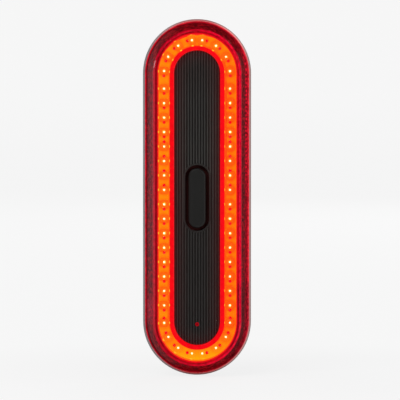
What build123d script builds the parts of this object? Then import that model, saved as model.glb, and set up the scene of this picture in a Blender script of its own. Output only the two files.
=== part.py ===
from build123d import *
import os
from math import atan2, cos, degrees, radians, sin

# Bicycle tail light: a tall light with round ends, a ring of 48 red lights and a ribbed panel inside it.
# Z is up along the light, the lens faces -Y, and X is to the right of someone who looks at the lens.
# The origin is the centre of the flat back, which a bracket's tongue seats on.
# A depth is measured forward from that back, so the plane at depth d lies at Y = -d.
# A radius is measured from the light's spine: every round-ended outline shares the same two end centres.

# Battery, which the housing is built round
battery_width = 20.0
battery_length = 50.0
battery_thickness = 6.0
battery_edge = 1.6
rear_pad = 0.8
front_pad = 1.4
pad_width = 14.0
pad_length = 34.0

# Room for the charging port below the battery, up from the lower end centre
port_zone = 15.0
port_rise = 5.4

# Centre panel
panel_radius = 6.12
panel_plate = 1.7
panel_skirt = 1.0
rib_count = 16
rib_pitch = 0.737
rib_base = 0.56
rib_crest = 0.3
rib_height = 0.34

# Light ring lens, outward from the panel
ring_gap = 0.08
ring_inner_wall = 1.08
window_width = 3.35
window_thickness = 1.2
ring_outer_wall = 0.9
ring_corner = 0.34
panel_recess = 0.8
ring_bevel = 0.55
ring_rise = 1.9
foot_width = 0.52
foot_height = 0.95
foot_seat = 2.05

# Board of the lights and the frame plate that carries it
board_margin = 0.25
board_clearance = 0.12
board_thickness = 1.2
frame_thickness = 1.2

# Housing
back_wall = 1.6
side_wall = 1.6
back_bevel = 2.3
back_edge_bevel = 0.7
lip_width = 0.53
lip_rise = 0.8
lip_bevel = 0.25
lens_clearance = 0.07
gasket_thickness = 0.4
gasket_margin = 0.1
rail_width = 0.9
rail_height = 2.6
rail_clearance = 0.25

# Case screws, driven from the back into bosses on the frame plate
screw_shank = 1.0
screw_head = 1.9
screw_head_height = 1.3
screw_socket = 0.5
socket_sides = 6
socket_depth = 0.7
head_sides = 12
recess_sides = 24
hidden_sides = 8
screw_length = 6.2
screw_end_gap = 0.4
screw_clearance = 0.02
head_clearance = 0.2
case_screw_side = 8.2
case_screw_beyond = 2.05
pillar_radius = 2.9
pillar_height = 5.0
head_sink = 2.2
frame_boss_radius = 2.4
frame_boss_gap = 0.1
battery_gap = 1.0

# Clip on the back
clip_width = 12.0
clip_thickness = 1.8
clip_slot = 2.8
clip_root = 11.4
clip_reach = 35.0
clip_corner = 2.5
clip_catch = 1.2
clip_catch_ramp = 1.6
clip_catch_crest = 1.0
clip_catch_slope = 0.5
clip_screw_first = 1.2
clip_screw_spacing = 5.8
clip_screw_sink = 1.5
clip_screw_length = 6.2
clip_boss_radius = 2.2
clip_boss_rise = 4.0
clip_boss_skin = 0.8

# Lights
led_rows = 16
led_end_gap = 4.24
led_arc_count = 4
led_arc_start = 9.0
led_arc_step = 26.0
led_length = 2.3
led_width = 2.7
led_height = 1.2
led_cup = 1.6
led_cup_depth = 0.4

# Button, its rubber sheet and the switch under it
button_width = 4.69
button_length = 16.0
button_groove = 0.86
button_proud = 0.3
button_edge = 0.45
well_lip = 0.45
press_travel = 0.3
press_spare = 0.1
boot_thickness = 0.5
boot_border = 1.0
neck_width = 2.2
neck_length = 9.0
neck_clearance = 0.08
collar_border = 0.5
collar_height = 0.5
touch_gap = 0.03
switch_size = 4.5
switch_height = 1.0
switch_bevel = 0.5
switch_bore_floor = 0.15
plunger_radius = 1.0
plunger_sides = 16
plunger_clearance = 0.05

# Indicator low on the panel
indicator_below = 0.525
indicator_radius = 0.55
indicator_clearance = 0.04
indicator_sides = 16
indicator_collar = 1.8
indicator_collar_height = 0.6
indicator_length = 1.6
indicator_width = 0.8
indicator_height = 0.7

# Charging port
port_width = 8.94
port_height = 3.2
port_wall = 0.3
port_corner = 1.2
port_clearance = 0.15
tongue_width = 6.69
tongue_thickness = 0.7
tongue_setback = 0.7
tongue_base = 1.5
mouth_setback = 0.1

# Rubber flap over the port, which swings on a bead at its top edge
flap_width = 13.0
flap_thickness = 1.4
flap_above_port = 4.2
flap_below_port = 4.0
flap_clearance = 0.2
bead_radius = 0.8
bead_clearance = 0.12
trunnion_length = 1.0
trunnion_radius = 0.6
trunnion_clearance = 0.05
nub_height = 0.8
nub_clearance = 0.3
tab_width = 5.0
tab_reach = 1.3
pocket_skin = 1.2
pocket_border = 1.4
pocket_corner = 0.6
notch_corner = 0.8

# Power board
power_board_thickness = 0.8
power_standoff = 0.6
power_standoff_radius = 1.6
power_shoulder = 19.0
power_tail = 10.4
power_tail_end = 9.0
power_boss_gap = 0.4
power_top_gap = 2.2
power_screw_shank = 0.7
power_screw_head = 1.3
power_screw_head_height = 0.8
power_screw_spare = 0.2
power_screw_upper = 3.8
power_screw_lower = 7.4
charge_chip = 3.0
charge_chip_height = 0.8
coil_size = 3.2
coil_height = 1.6
charge_side = 3.2
charge_drop = 3.9
link_width = 5.0
link_height = 2.2
link_clearance = 0.3

# Screws that hold the LED board
board_screw_shank = 0.7
board_screw_head = 1.3
board_screw_head_height = 0.8
board_boss_radius = 1.6
board_boss_spare = 0.2
board_screw_upper = 0.6
board_screw_lower = 1.0

# Parts on the LED board
mcu_size = 4.0
mcu_corner = 0.2
mcu_height = 0.8
mcu_place = 21.0
driver_size = 3.0
driver_height = 0.75
driver_upper = 12.5
driver_lower = -12.5
resistor_length = 1.0
resistor_width = 0.5
resistor_height = 0.35
resistor_side = 3.6
resistor_first = 8.0
resistor_pitch = 2.0
resistor_rows = 6

# Battery protection board and its two leads
protection_thickness = 0.8
protection_width = 16.0
protection_height = 4.0
lead_radius = 0.5
lead_side = 6.6
lead_sides = 6
lead_bend = 1.5
lead_run = 5.4

# Radii outward from the spine
lens_inner = panel_radius + ring_gap
window_inner = lens_inner + ring_inner_wall
window_outer = window_inner + window_width
leg_outer = window_outer + ring_outer_wall
ring_outer = leg_outer + ring_corner
board_radius = leg_outer + board_margin
foot_inner = board_radius + board_clearance
flange_radius = foot_inner + foot_seat
lip_inner = flange_radius + lens_clearance
outer_radius = lip_inner + lip_width
cavity_radius = outer_radius - side_wall
gasket_inner = cavity_radius + gasket_margin
led_radius = (window_inner + window_outer) / 2

# Depths forward from the back
frame_back = back_wall + rear_pad + battery_thickness + front_pad
frame_front = frame_back + frame_thickness
rim_depth = frame_back - gasket_thickness
board_front = frame_front + board_thickness
switch_front = board_front + switch_height
plunger_front = switch_front + press_travel + touch_gap
collar_back = plunger_front + touch_gap
boot_back = collar_back + collar_height + touch_gap
panel_back = boot_back + boot_thickness
panel_front = panel_back + panel_plate
panel_valley = panel_front - rib_height
head_back = panel_back + press_travel + press_spare
button_front = panel_front + button_proud
lens_front = panel_front + panel_recess
window_back = lens_front - window_thickness
lip_front = frame_front + lip_rise
power_front = frame_back - power_standoff
power_back = power_front - power_board_thickness
battery_back = back_wall + rear_pad
battery_front = battery_back + battery_thickness
pocket_floor = flap_clearance / 2 + flap_thickness + flap_clearance
mouth_depth = pocket_floor + mouth_setback

# Heights along the light
straight_length = battery_length + port_zone + pillar_radius + battery_gap - case_screw_beyond
end_centre = straight_length / 2
case_screw_place = end_centre + case_screw_beyond
battery_top = case_screw_place - pillar_radius - battery_gap
battery_middle = battery_top - battery_length / 2
battery_bottom = battery_top - battery_length
protection_bottom = battery_bottom - protection_thickness
port_place = port_rise - end_centre
hinge_place = port_place + flap_above_port
hinge_depth = flap_clearance / 2 + bead_radius
pocket_top = hinge_place + bead_radius + bead_clearance + flap_clearance
flap_bottom = port_place - flap_below_port
pocket_bottom = flap_bottom - flap_clearance
clip_screw_places = [
    end_centre + clip_screw_first,
    end_centre + clip_screw_first + clip_screw_spacing,
]
clip_root_middle = sum(clip_screw_places) / 2
clip_top = clip_root_middle + clip_root / 2
clip_root_bottom = clip_top - clip_root
clip_bottom = clip_root_bottom - clip_reach
power_top = protection_bottom - power_top_gap
power_screw_places = [port_place + power_screw_upper, port_place - power_screw_lower - port_height]
indicator_place = -end_centre - indicator_below
link_place = port_place - port_height / 2 - link_height - link_clearance
board_screw_places = [end_centre + board_screw_upper, battery_bottom - board_screw_lower]
led_pitch = (straight_length - 2 * led_end_gap) / (led_rows - 1)
opening_width = button_width + 2 * button_groove
opening_length = button_length + 2 * button_groove

# Where the screws go, as points of the front view
case_screw_points = [
    (side * case_screw_side, end * case_screw_place) for side in (-1, 1) for end in (-1, 1)
]
clip_screw_points = [(0, place) for place in clip_screw_places]
power_screw_points = [(0, place) for place in power_screw_places]
board_screw_points = [(0, place) for place in board_screw_places]
link_point = (0, link_place)


def front_plane(depth):
    """The plane at a depth, which faces forward, with X to the right and Z up."""
    return Plane.XZ.offset(depth)


def stadium(radius, mode=Mode.ADD):
    """The round-ended outline at a radius from the spine."""
    SlotCenterToCenter(straight_length, 2 * radius, rotation=90, mode=mode)


def round_plate(radius, back, front, mode=Mode.ADD):
    """A plate with the light's round-ended outline, between two depths."""
    with BuildSketch(front_plane(back)) as face:
        stadium(radius)
    extrude(face.sketch, amount=front - back, mode=mode)


def round_ring(inner, outer, back, front, mode=Mode.ADD):
    """A closed band between two radii and two depths."""
    with BuildSketch(front_plane(back)) as face:
        stadium(outer)
        stadium(inner, mode=Mode.SUBTRACT)
    extrude(face.sketch, amount=front - back, mode=mode)


def posts(points, radius, back, front, mode=Mode.ADD, sides=0):
    """Posts or holes at points of the front view, between two depths, round or with flat sides."""
    with BuildSketch(front_plane(back)) as face:
        with Locations(*points):
            if sides:
                RegularPolygon(radius, sides, major_radius=(mode == Mode.ADD))
            else:
                Circle(radius)
    extrude(face.sketch, amount=front - back, mode=mode)


def block(width, length, back, front, point=(0, 0), mode=Mode.ADD):
    """A square-cornered block in the front view, between two depths."""
    with BuildSketch(front_plane(back)) as face:
        with Locations(point):
            Rectangle(width, length)
    extrude(face.sketch, amount=front - back, mode=mode)


def slot_block(width, length, back, front, mode=Mode.ADD):
    """An upright round-ended block at the middle of the light."""
    with BuildSketch(front_plane(back)) as face:
        SlotOverall(length, width, rotation=90)
    extrude(face.sketch, amount=front - back, mode=mode)


def screws(points, shank, head, head_height, seat, length, forward):
    """Screws whose heads seat at a depth, with their shanks pointing forward or back."""
    turn = 1 if forward else -1
    head_end = seat - turn * head_height
    posts(points, head, head_end, seat, sides=head_sides)
    posts(points, shank, seat, seat + turn * length, sides=hidden_sides)
    socket_end = head_end + turn * head_height * socket_depth
    posts(points, head * screw_socket, head_end, socket_end, Mode.SUBTRACT, socket_sides)


def led_locations():
    """Each light's place on the closed path behind the window, turned along the path."""
    places = []
    for side in (-1, 1):
        for row in range(led_rows):
            height = (row - (led_rows - 1) / 2) * led_pitch
            places.append(Location((side * led_radius, -board_front, height)))
        for end in (-1, 1):
            for step in range(led_arc_count):
                angle = led_arc_start + step * led_arc_step
                across = side * led_radius * sin(radians(angle))
                along = end * (end_centre + led_radius * cos(radians(angle)))
                turn = side * end * (angle - 90)
                places.append(Location((across, -board_front, along), (0, turn, 0)))
    return places


os.makedirs("parts", exist_ok=True)

# Housing: a tub with a flat back, a ledge for the gasket and a thin lip round the lens
with BuildPart() as rear_shell:
    round_plate(outer_radius, 0, lip_front)
    chamfer(rear_shell.faces().sort_by(Axis.Y)[0].edges(), lip_bevel)
    chamfer(rear_shell.faces().sort_by(Axis.Y)[-1].edges(), back_bevel)
    # Break both edges of the wide bevel, so that the back reads as rounded
    level_rims = rear_shell.edges().filter_by(Plane.XZ).group_by(Axis.Y)
    chamfer(level_rims[-1] + level_rims[-2], back_edge_bevel)
    round_plate(cavity_radius, back_wall, lip_front, mode=Mode.SUBTRACT)
    round_plate(lip_inner, rim_depth, lip_front, mode=Mode.SUBTRACT)
    # Rails beside the battery
    for side in (-1, 1):
        rail_place = side * (battery_width / 2 + rail_clearance + rail_width / 2)
        block(
            rail_width,
            battery_length - 2 * pillar_radius,
            back_wall,
            back_wall + rail_height,
            (rail_place, battery_middle),
        )
    # Screw pillars, clip bosses and the collar round the port
    posts(case_screw_points, pillar_radius, back_wall, pillar_height, sides=hidden_sides)
    clip_boss_front = back_wall + clip_boss_rise
    posts(clip_screw_points, clip_boss_radius, back_wall, clip_boss_front, sides=hidden_sides)
    pocket_width = flap_width + 2 * flap_clearance
    pocket_length = pocket_top - pocket_bottom
    pocket_middle = (pocket_top + pocket_bottom) / 2
    block(
        pocket_width + 2 * pocket_border,
        pocket_length + 2 * pocket_border,
        back_wall,
        pocket_floor + pocket_skin,
        (0, pocket_middle),
    )
    # Pocket for the flap, with sockets for its trunnions and a notch for a fingertip
    with BuildSketch(front_plane(0)):
        with Locations((0, pocket_middle)):
            RectangleRounded(pocket_width, pocket_length, pocket_corner)
    extrude(amount=pocket_floor, mode=Mode.SUBTRACT)
    with BuildSketch(front_plane(0)):
        with Locations((0, pocket_bottom)):
            notch_width = tab_width + 2 * flap_clearance
            notch_length = 2 * (tab_reach + flap_clearance)
            RectangleRounded(notch_width, notch_length, notch_corner)
    extrude(amount=hinge_depth, mode=Mode.SUBTRACT)
    trunnion_span = flap_width + 2 * (trunnion_length + flap_clearance)
    with BuildSketch(Plane.YZ.offset(-trunnion_span / 2)):
        with Locations((-hinge_depth, hinge_place)):
            RegularPolygon(trunnion_radius + trunnion_clearance, hidden_sides, major_radius=False)
    extrude(amount=trunnion_span, mode=Mode.SUBTRACT)
    with BuildSketch(front_plane(pocket_floor)):
        with Locations((0, port_place)):
            RectangleRounded(
                port_width + 2 * port_clearance, port_height + 2 * port_clearance, port_corner
            )
    extrude(amount=pocket_skin, mode=Mode.SUBTRACT)
    # Screw holes
    recess = screw_head + head_clearance
    posts(case_screw_points, recess, 0, head_sink, Mode.SUBTRACT, recess_sides)
    shank_hole = screw_shank + head_clearance
    posts(case_screw_points, shank_hole, head_sink, pillar_height, Mode.SUBTRACT, hidden_sides)
    thread_hole = screw_shank + screw_clearance
    clip_hole_end = clip_boss_front - clip_boss_skin
    posts(clip_screw_points, thread_hole, 0, clip_hole_end, Mode.SUBTRACT, hidden_sides)
rear_shell.part.label = "rear_shell"
export_step(rear_shell.part, "parts/rear_shell.step")

# Gasket between the housing's ledge and the frame plate
with BuildPart() as case_gasket:
    round_ring(gasket_inner, flange_radius, rim_depth, frame_back)
case_gasket.part.label = "case_gasket"
export_step(case_gasket.part, "parts/case_gasket.step")

# Frame plate, which closes the housing and carries the boards
board_hole = board_screw_shank + screw_clearance
power_hole = power_screw_shank + screw_clearance
with BuildPart() as mid_frame:
    round_plate(flange_radius, frame_back, frame_front)
    frame_boss_back = pillar_height + frame_boss_gap
    posts(case_screw_points, frame_boss_radius, frame_boss_back, frame_back, sides=hidden_sides)
    board_boss_back = battery_front + board_boss_spare
    posts(board_screw_points, board_boss_radius, board_boss_back, frame_back, sides=hidden_sides)
    posts(power_screw_points, power_standoff_radius, power_front, frame_back, sides=hidden_sides)
    case_hole_end = head_sink + screw_length + screw_end_gap
    posts(case_screw_points, thread_hole, frame_boss_back, case_hole_end, Mode.SUBTRACT, hidden_sides)
    posts(board_screw_points, board_hole, board_boss_back, frame_front, Mode.SUBTRACT, hidden_sides)
    power_hole_end = frame_front - power_screw_spare
    posts(power_screw_points, power_hole, power_front, power_hole_end, Mode.SUBTRACT, hidden_sides)
    link_gap_width = link_width + 2 * link_clearance
    link_gap_height = link_height + 2 * link_clearance
    block(link_gap_width, link_gap_height, frame_back, frame_front, link_point, Mode.SUBTRACT)
mid_frame.part.label = "mid_frame"
export_step(mid_frame.part, "parts/mid_frame.step")

# Lens: a U channel over the lights, with a thick sloped shoulder down to its foot.
# Its section is drawn once and taken round one quarter of the light, which is then mirrored.
section_plane = Plane(origin=(0, 0, end_centre), x_dir=(1, 0, 0), z_dir=(0, 0, -1))
end_axis = Axis((0, 0, end_centre), (0, -1, 0))
wall_end = board_front + touch_gap
ring_foot = lens_front - ring_rise
foot_front = frame_front + foot_height
section_points = [
    (lens_inner, wall_end),
    (lens_inner, lens_front),
    (ring_outer, lens_front),
    (ring_outer, ring_foot),
    (flange_radius - foot_width, foot_front),
    (flange_radius, foot_front),
    (flange_radius, frame_front),
    (foot_inner, frame_front),
    (foot_inner, wall_end),
    (window_outer, wall_end),
    (window_outer, window_back),
    (window_inner, window_back),
    (window_inner, wall_end),
]
with BuildPart() as front_lens:
    with BuildSketch(section_plane) as section:
        with BuildLine():
            Polyline(*section_points, close=True)
        make_face()
        chamfer(section.vertices().sort_by_distance((ring_outer, lens_front))[0], ring_bevel)
    extrude(amount=end_centre)
    revolve(section.sketch, axis=end_axis, revolution_arc=90)
    mirror(about=Plane.YZ)
    mirror(about=Plane.XY)
front_lens.part.label = "front_lens"
export_step(front_lens.part, "parts/front_lens.step")

# Ribs of the panel, as one upright comb that is trimmed to the panel's outline
with BuildPart() as rib_comb:
    with BuildSketch(Plane.XY.offset(-end_centre - panel_radius)):
        with Locations(*[((i - (rib_count - 1) / 2) * rib_pitch, -panel_valley) for i in range(rib_count)]):
            Trapezoid(
                rib_base,
                rib_height,
                degrees(atan2(rib_height, (rib_base - rib_crest) / 2)),
                rotation=180,
                align=(Align.CENTER, Align.MIN),
            )
    extrude(amount=2 * (end_centre + panel_radius))
    round_plate(panel_radius, panel_valley, panel_front, mode=Mode.INTERSECT)

# Centre panel: a ribbed lid on a skirt, with a well for the button
with BuildPart() as center_panel:
    round_plate(panel_radius, panel_back, panel_valley)
    round_ring(panel_radius - panel_skirt, panel_radius, board_front, panel_back)
    add(rib_comb.part)
    slot_block(
        opening_width + 2 * well_lip, opening_length + 2 * well_lip, panel_valley, panel_front
    )
    slot_block(opening_width, opening_length, panel_back, panel_front, mode=Mode.SUBTRACT)
    posts(
        [(0, indicator_place)],
        indicator_radius + indicator_clearance,
        panel_back,
        panel_front,
        Mode.SUBTRACT,
        indicator_sides,
    )
center_panel.part.label = "center_panel"
export_step(center_panel.part, "parts/center_panel.step")

# Button, with a neck through the rubber sheet and a collar behind it
collar_width = neck_width + 2 * collar_border
collar_length = neck_length + 2 * collar_border
collar_front = collar_back + collar_height
with BuildPart() as button_cap:
    slot_block(button_width, button_length, head_back, button_front)
    chamfer(button_cap.faces().sort_by(Axis.Y)[0].edges(), button_edge)
    block(neck_width, neck_length, collar_back, head_back)
    block(collar_width, collar_length, collar_back, collar_front)
button_cap.part.label = "button_cap"
export_step(button_cap.part, "parts/button_cap.step")

# Rubber sheet behind the panel, which seals the button's well
boot_width = opening_width + 2 * boot_border
boot_length = opening_length + 2 * boot_border
boot_hole_width = neck_width + 2 * neck_clearance
boot_hole_length = neck_length + 2 * neck_clearance
with BuildPart() as button_boot:
    block(boot_width, boot_length, boot_back, panel_back)
    block(boot_hole_width, boot_hole_length, boot_back, panel_back, mode=Mode.SUBTRACT)
button_boot.part.label = "button_boot"
export_step(button_boot.part, "parts/button_boot.step")

# Switch body, soldered to the middle of the board
plunger_back = switch_front - press_travel - switch_bore_floor
with BuildPart() as switch_body:
    block(switch_size, switch_size, board_front, switch_front)
    chamfer(switch_body.edges().filter_by(Axis.Y), switch_bevel)
    posts(
        [(0, 0)],
        plunger_radius + plunger_clearance,
        plunger_back - press_travel - plunger_clearance,
        switch_front,
        Mode.SUBTRACT,
        plunger_sides,
    )
switch_body.part.label = "switch_body"
export_step(switch_body.part, "parts/switch_body.step")

# Switch plunger, which the button's collar presses
with BuildPart() as switch_plunger:
    posts([(0, 0)], plunger_radius, plunger_back, plunger_front, sides=plunger_sides)
switch_plunger.part.label = "switch_plunger"
export_step(switch_plunger.part, "parts/switch_plunger.step")

# Aluminium board that carries the lights and the switch
with BuildPart() as led_board:
    round_plate(board_radius, frame_front, board_front)
    posts(board_screw_points, board_hole, frame_front, board_front, Mode.SUBTRACT, hidden_sides)
led_board.part.label = "led_board"
export_step(led_board.part, "parts/led_board.step")

# One light's package: a block with a square cup in its face, made at the origin and facing -Y
with BuildPart() as led_unit:
    with BuildSketch(front_plane(0)):
        Rectangle(led_width, led_length)
    extrude(amount=led_height)
    with BuildSketch(front_plane(led_height - led_cup_depth)):
        Rectangle(led_cup, led_cup)
    extrude(amount=led_cup_depth, mode=Mode.SUBTRACT)

# All the packages
with BuildPart() as led_packages:
    with Locations(*led_locations()):
        add(led_unit.part)
led_packages.part.label = "led_packages"
export_step(led_packages.part, "parts/led_packages.step")

# Controller chip
with BuildPart() as mcu_chip:
    block(mcu_size, mcu_size, board_front, board_front + mcu_height, (0, mcu_place))
    chamfer(mcu_chip.edges().filter_by(Axis.Y), mcu_corner)
mcu_chip.part.label = "mcu_chip"
export_step(mcu_chip.part, "parts/mcu_chip.step")

# The two chips that drive the lights
with BuildPart() as led_drivers:
    for place in (driver_lower, driver_upper):
        block(driver_size, driver_size, board_front, board_front + driver_height, (0, place))
led_drivers.part.label = "led_drivers"
export_step(led_drivers.part, "parts/led_drivers.step")

# Resistors in two rows beside the chips
with BuildPart() as led_resistors:
    for side in (-1, 1):
        for row in range(resistor_rows):
            place = resistor_first + row * resistor_pitch
            point = (side * resistor_side, place)
            block(resistor_length, resistor_width, board_front, board_front + resistor_height, point)
led_resistors.part.label = "led_resistors"
export_step(led_resistors.part, "parts/led_resistors.step")

# Small LED behind the indicator window
with BuildPart() as indicator_led:
    block(
        indicator_width,
        indicator_length,
        board_front,
        board_front + indicator_height,
        (0, indicator_place),
    )
indicator_led.part.label = "indicator_led"
export_step(indicator_led.part, "parts/indicator_led.step")

# Light pipe that carries its light to the panel
with BuildPart() as light_pipe:
    pipe_point = (0, indicator_place)
    pipe_back = board_front + indicator_height + touch_gap
    posts([pipe_point], indicator_radius, pipe_back, panel_front, sides=indicator_sides)
    base_back = panel_back - indicator_collar_height
    block(indicator_collar, indicator_collar, base_back, panel_back, pipe_point)
light_pipe.part.label = "light_pipe"
export_step(light_pipe.part, "parts/light_pipe.step")

# Screws that hold the LED board to the frame plate
with BuildPart() as board_screws:
    screws(
        board_screw_points,
        board_screw_shank,
        board_screw_head,
        board_screw_head_height,
        board_front,
        board_front - board_boss_back,
        forward=False,
    )
board_screws.part.label = "board_screws"
export_step(board_screws.part, "parts/board_screws.step")

# Battery: a flat pouch with rounded long edges
with BuildPart() as battery_cell:
    block(battery_width, battery_length, battery_back, battery_front, (0, battery_middle))
    fillet(battery_cell.edges().filter_by(Axis.Z), battery_edge)
battery_cell.part.label = "battery_cell"
export_step(battery_cell.part, "parts/battery_cell.step")

# Foam pads behind and in front of the battery
with BuildPart() as battery_pads:
    block(pad_width, pad_length, back_wall, battery_back, (0, battery_middle))
    block(pad_width, pad_length, battery_front, frame_back, (0, battery_middle))
battery_pads.part.label = "battery_pads"
export_step(battery_pads.part, "parts/battery_pads.step")

# Protection board across the battery's lower end
protection_middle = (battery_back + battery_front) / 2
with BuildPart() as protection_board:
    block(
        protection_width,
        protection_thickness,
        protection_middle - protection_height / 2,
        protection_middle + protection_height / 2,
        (0, battery_bottom - protection_thickness / 2),
    )
protection_board.part.label = "protection_board"
export_step(protection_board.part, "parts/protection_board.step")


def lead(side):
    """A battery lead, down from the protection board and then forward to the power board."""
    across = side * lead_side
    route = [
        (across, -protection_middle, protection_bottom),
        (across, -protection_middle, protection_bottom - lead_run),
        (across, -power_back, protection_bottom - lead_run),
    ]
    with BuildLine() as line:
        FilletPolyline(*route, radius=lead_bend)
    with BuildSketch(Plane(origin=route[0], z_dir=(0, 0, -1))) as face:
        RegularPolygon(lead_radius, lead_sides)
    sweep(face.sketch, path=line.line)


# Battery leads
with BuildPart() as battery_lead_red:
    lead(1)
battery_lead_red.part.label = "battery_lead_red"
export_step(battery_lead_red.part, "parts/battery_lead_red.step")

with BuildPart() as battery_lead_black:
    lead(-1)
battery_lead_black.part.label = "battery_lead_black"
export_step(battery_lead_black.part, "parts/battery_lead_black.step")

# Power board in the lower end: wide above the frame's bosses and narrow between them
power_waist = frame_boss_radius + power_boss_gap - case_screw_place
power_end = -case_screw_place - power_tail_end
with BuildPart() as power_board:
    upper_middle = (power_top + power_waist) / 2
    block(power_shoulder, power_top - power_waist, power_back, power_front, (0, upper_middle))
    tail_middle = (power_waist + power_end) / 2
    block(power_tail, power_waist - power_end, power_back, power_front, (0, tail_middle))
    posts(power_screw_points, power_hole, power_back, power_front, Mode.SUBTRACT, hidden_sides)
power_board.part.label = "power_board"
export_step(power_board.part, "parts/power_board.step")

# Screws that hold the power board
with BuildPart() as power_board_screws:
    screws(
        power_screw_points,
        power_screw_shank,
        power_screw_head,
        power_screw_head_height,
        power_back,
        frame_front - power_screw_spare * 2 - power_back,
        forward=True,
    )
power_board_screws.part.label = "power_board_screws"
export_step(power_board_screws.part, "parts/power_board_screws.step")

# Charging port's metal sleeve, open to the back
with BuildPart() as usb_shell:
    with BuildSketch(front_plane(mouth_depth)):
        with Locations((0, port_place)):
            RectangleRounded(port_width, port_height, port_corner)
            RectangleRounded(
                port_width - 2 * port_wall,
                port_height - 2 * port_wall,
                port_corner - port_wall,
                mode=Mode.SUBTRACT,
            )
    extrude(amount=power_back - mouth_depth)
usb_shell.part.label = "usb_shell"
export_step(usb_shell.part, "parts/usb_shell.step")

# Contact tongue and the block that closes the sleeve's inner end
with BuildPart() as usb_tongue:
    with BuildSketch(front_plane(power_back)):
        with Locations((0, port_place)):
            RectangleRounded(
                port_width - 2 * port_wall,
                port_height - 2 * port_wall,
                port_corner - port_wall,
            )
    extrude(amount=-tongue_base)
    block(
        tongue_width,
        tongue_thickness,
        mouth_depth + tongue_setback,
        power_back - tongue_base,
        (0, port_place),
    )
usb_tongue.part.label = "usb_tongue"
export_step(usb_tongue.part, "parts/usb_tongue.step")

# Charging chip and coil
with BuildPart() as charging_parts:
    charge_place = port_place - port_height / 2 - charge_drop - link_height
    block(
        charge_chip,
        charge_chip,
        power_back - charge_chip_height,
        power_back,
        (-charge_side, charge_place),
    )
    block(coil_size, coil_size, power_back - coil_height, power_back, (charge_side, charge_place))
charging_parts.part.label = "charging_parts"
export_step(charging_parts.part, "parts/charging_parts.step")

# Connector block between the two boards
with BuildPart() as board_link:
    block(link_width, link_height, power_front, frame_front, link_point)
board_link.part.label = "board_link"
export_step(board_link.part, "parts/board_link.step")

# Rubber flap: a plate on a round bead, with a nub for the port and a tab to lift it by
with BuildPart() as usb_flap:
    flap_back = flap_clearance / 2
    flap_length = hinge_place - flap_bottom
    block(
        flap_width,
        flap_length,
        flap_back,
        flap_back + flap_thickness,
        (0, (hinge_place + flap_bottom) / 2),
    )
    with BuildSketch(front_plane(flap_back)):
        with Locations((0, flap_bottom)):
            SlotOverall(tab_width, 2 * tab_reach)
    extrude(amount=flap_thickness / 2)
    with BuildSketch(Plane.YZ.offset(-flap_width / 2)):
        with Locations((-hinge_depth, hinge_place)):
            Circle(bead_radius)
    extrude(amount=flap_width)
    with BuildSketch(Plane.YZ.offset(-flap_width / 2 - trunnion_length)):
        with Locations((-hinge_depth, hinge_place)):
            RegularPolygon(trunnion_radius, hidden_sides)
    extrude(amount=flap_width + 2 * trunnion_length)
    with BuildSketch(front_plane(flap_back + flap_thickness)):
        with Locations((0, port_place)):
            RectangleRounded(
                port_width - 2 * (port_wall + nub_clearance),
                port_height - 2 * (port_wall + nub_clearance),
                port_corner - port_wall - nub_clearance,
            )
    extrude(amount=nub_height)
usb_flap.part.label = "usb_flap"
export_step(usb_flap.part, "parts/usb_flap.step")

# Case screws
with BuildPart() as case_screws:
    screws(
        case_screw_points,
        screw_shank,
        screw_head,
        screw_head_height,
        head_sink,
        screw_length,
        forward=True,
    )
case_screws.part.label = "case_screws"
export_step(case_screws.part, "parts/case_screws.step")

# Clip: a root block that is screwed to the back, and a springy leaf that hangs from it
with BuildPart() as rear_clip:
    with BuildSketch(front_plane(-clip_slot - clip_thickness)):
        with Locations((0, (clip_top + clip_bottom) / 2)):
            RectangleRounded(clip_width, clip_top - clip_bottom, clip_corner)
    extrude(amount=clip_thickness)
    with BuildSketch(front_plane(-clip_slot)):
        with Locations((0, clip_top - clip_root / 2)):
            RectangleRounded(clip_width, clip_root, clip_corner)
    extrude(amount=clip_slot)
    # Catch at the leaf's lower end, sloped so that a tongue pushes it aside
    with BuildSketch(Plane.YZ.offset(-clip_width / 2 + clip_corner)):
        with BuildLine():
            catch_low = clip_bottom + clip_catch_ramp
            catch_high = catch_low + clip_catch_crest
            Polyline(
                (clip_slot, clip_bottom),
                (clip_slot - clip_catch, catch_low),
                (clip_slot - clip_catch, catch_high),
                (clip_slot, catch_high + clip_catch_slope),
                close=True,
            )
        make_face()
    extrude(amount=clip_width - 2 * clip_corner)
    head_seat = -clip_slot - clip_thickness + screw_head_height + clip_screw_sink
    posts(
        clip_screw_points,
        recess,
        -clip_slot - clip_thickness,
        head_seat,
        Mode.SUBTRACT,
        recess_sides,
    )
    posts(clip_screw_points, shank_hole, head_seat, 0, Mode.SUBTRACT, hidden_sides)
rear_clip.part.label = "rear_clip"
export_step(rear_clip.part, "parts/rear_clip.step")

# Clip screws
with BuildPart() as clip_screws:
    screws(
        clip_screw_points,
        screw_shank,
        screw_head,
        screw_head_height,
        head_seat,
        clip_screw_length,
        forward=True,
    )
clip_screws.part.label = "clip_screws"
export_step(clip_screws.part, "parts/clip_screws.step")

print("height", round(2 * (end_centre + outer_radius), 2))
print("width", round(2 * outer_radius, 2))
print("depth of the body", round(lens_front, 2))
print("pitch of the lights", round(led_pitch, 3))
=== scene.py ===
from math import atan2, cos, pi, radians, sin, sqrt, tan

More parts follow.
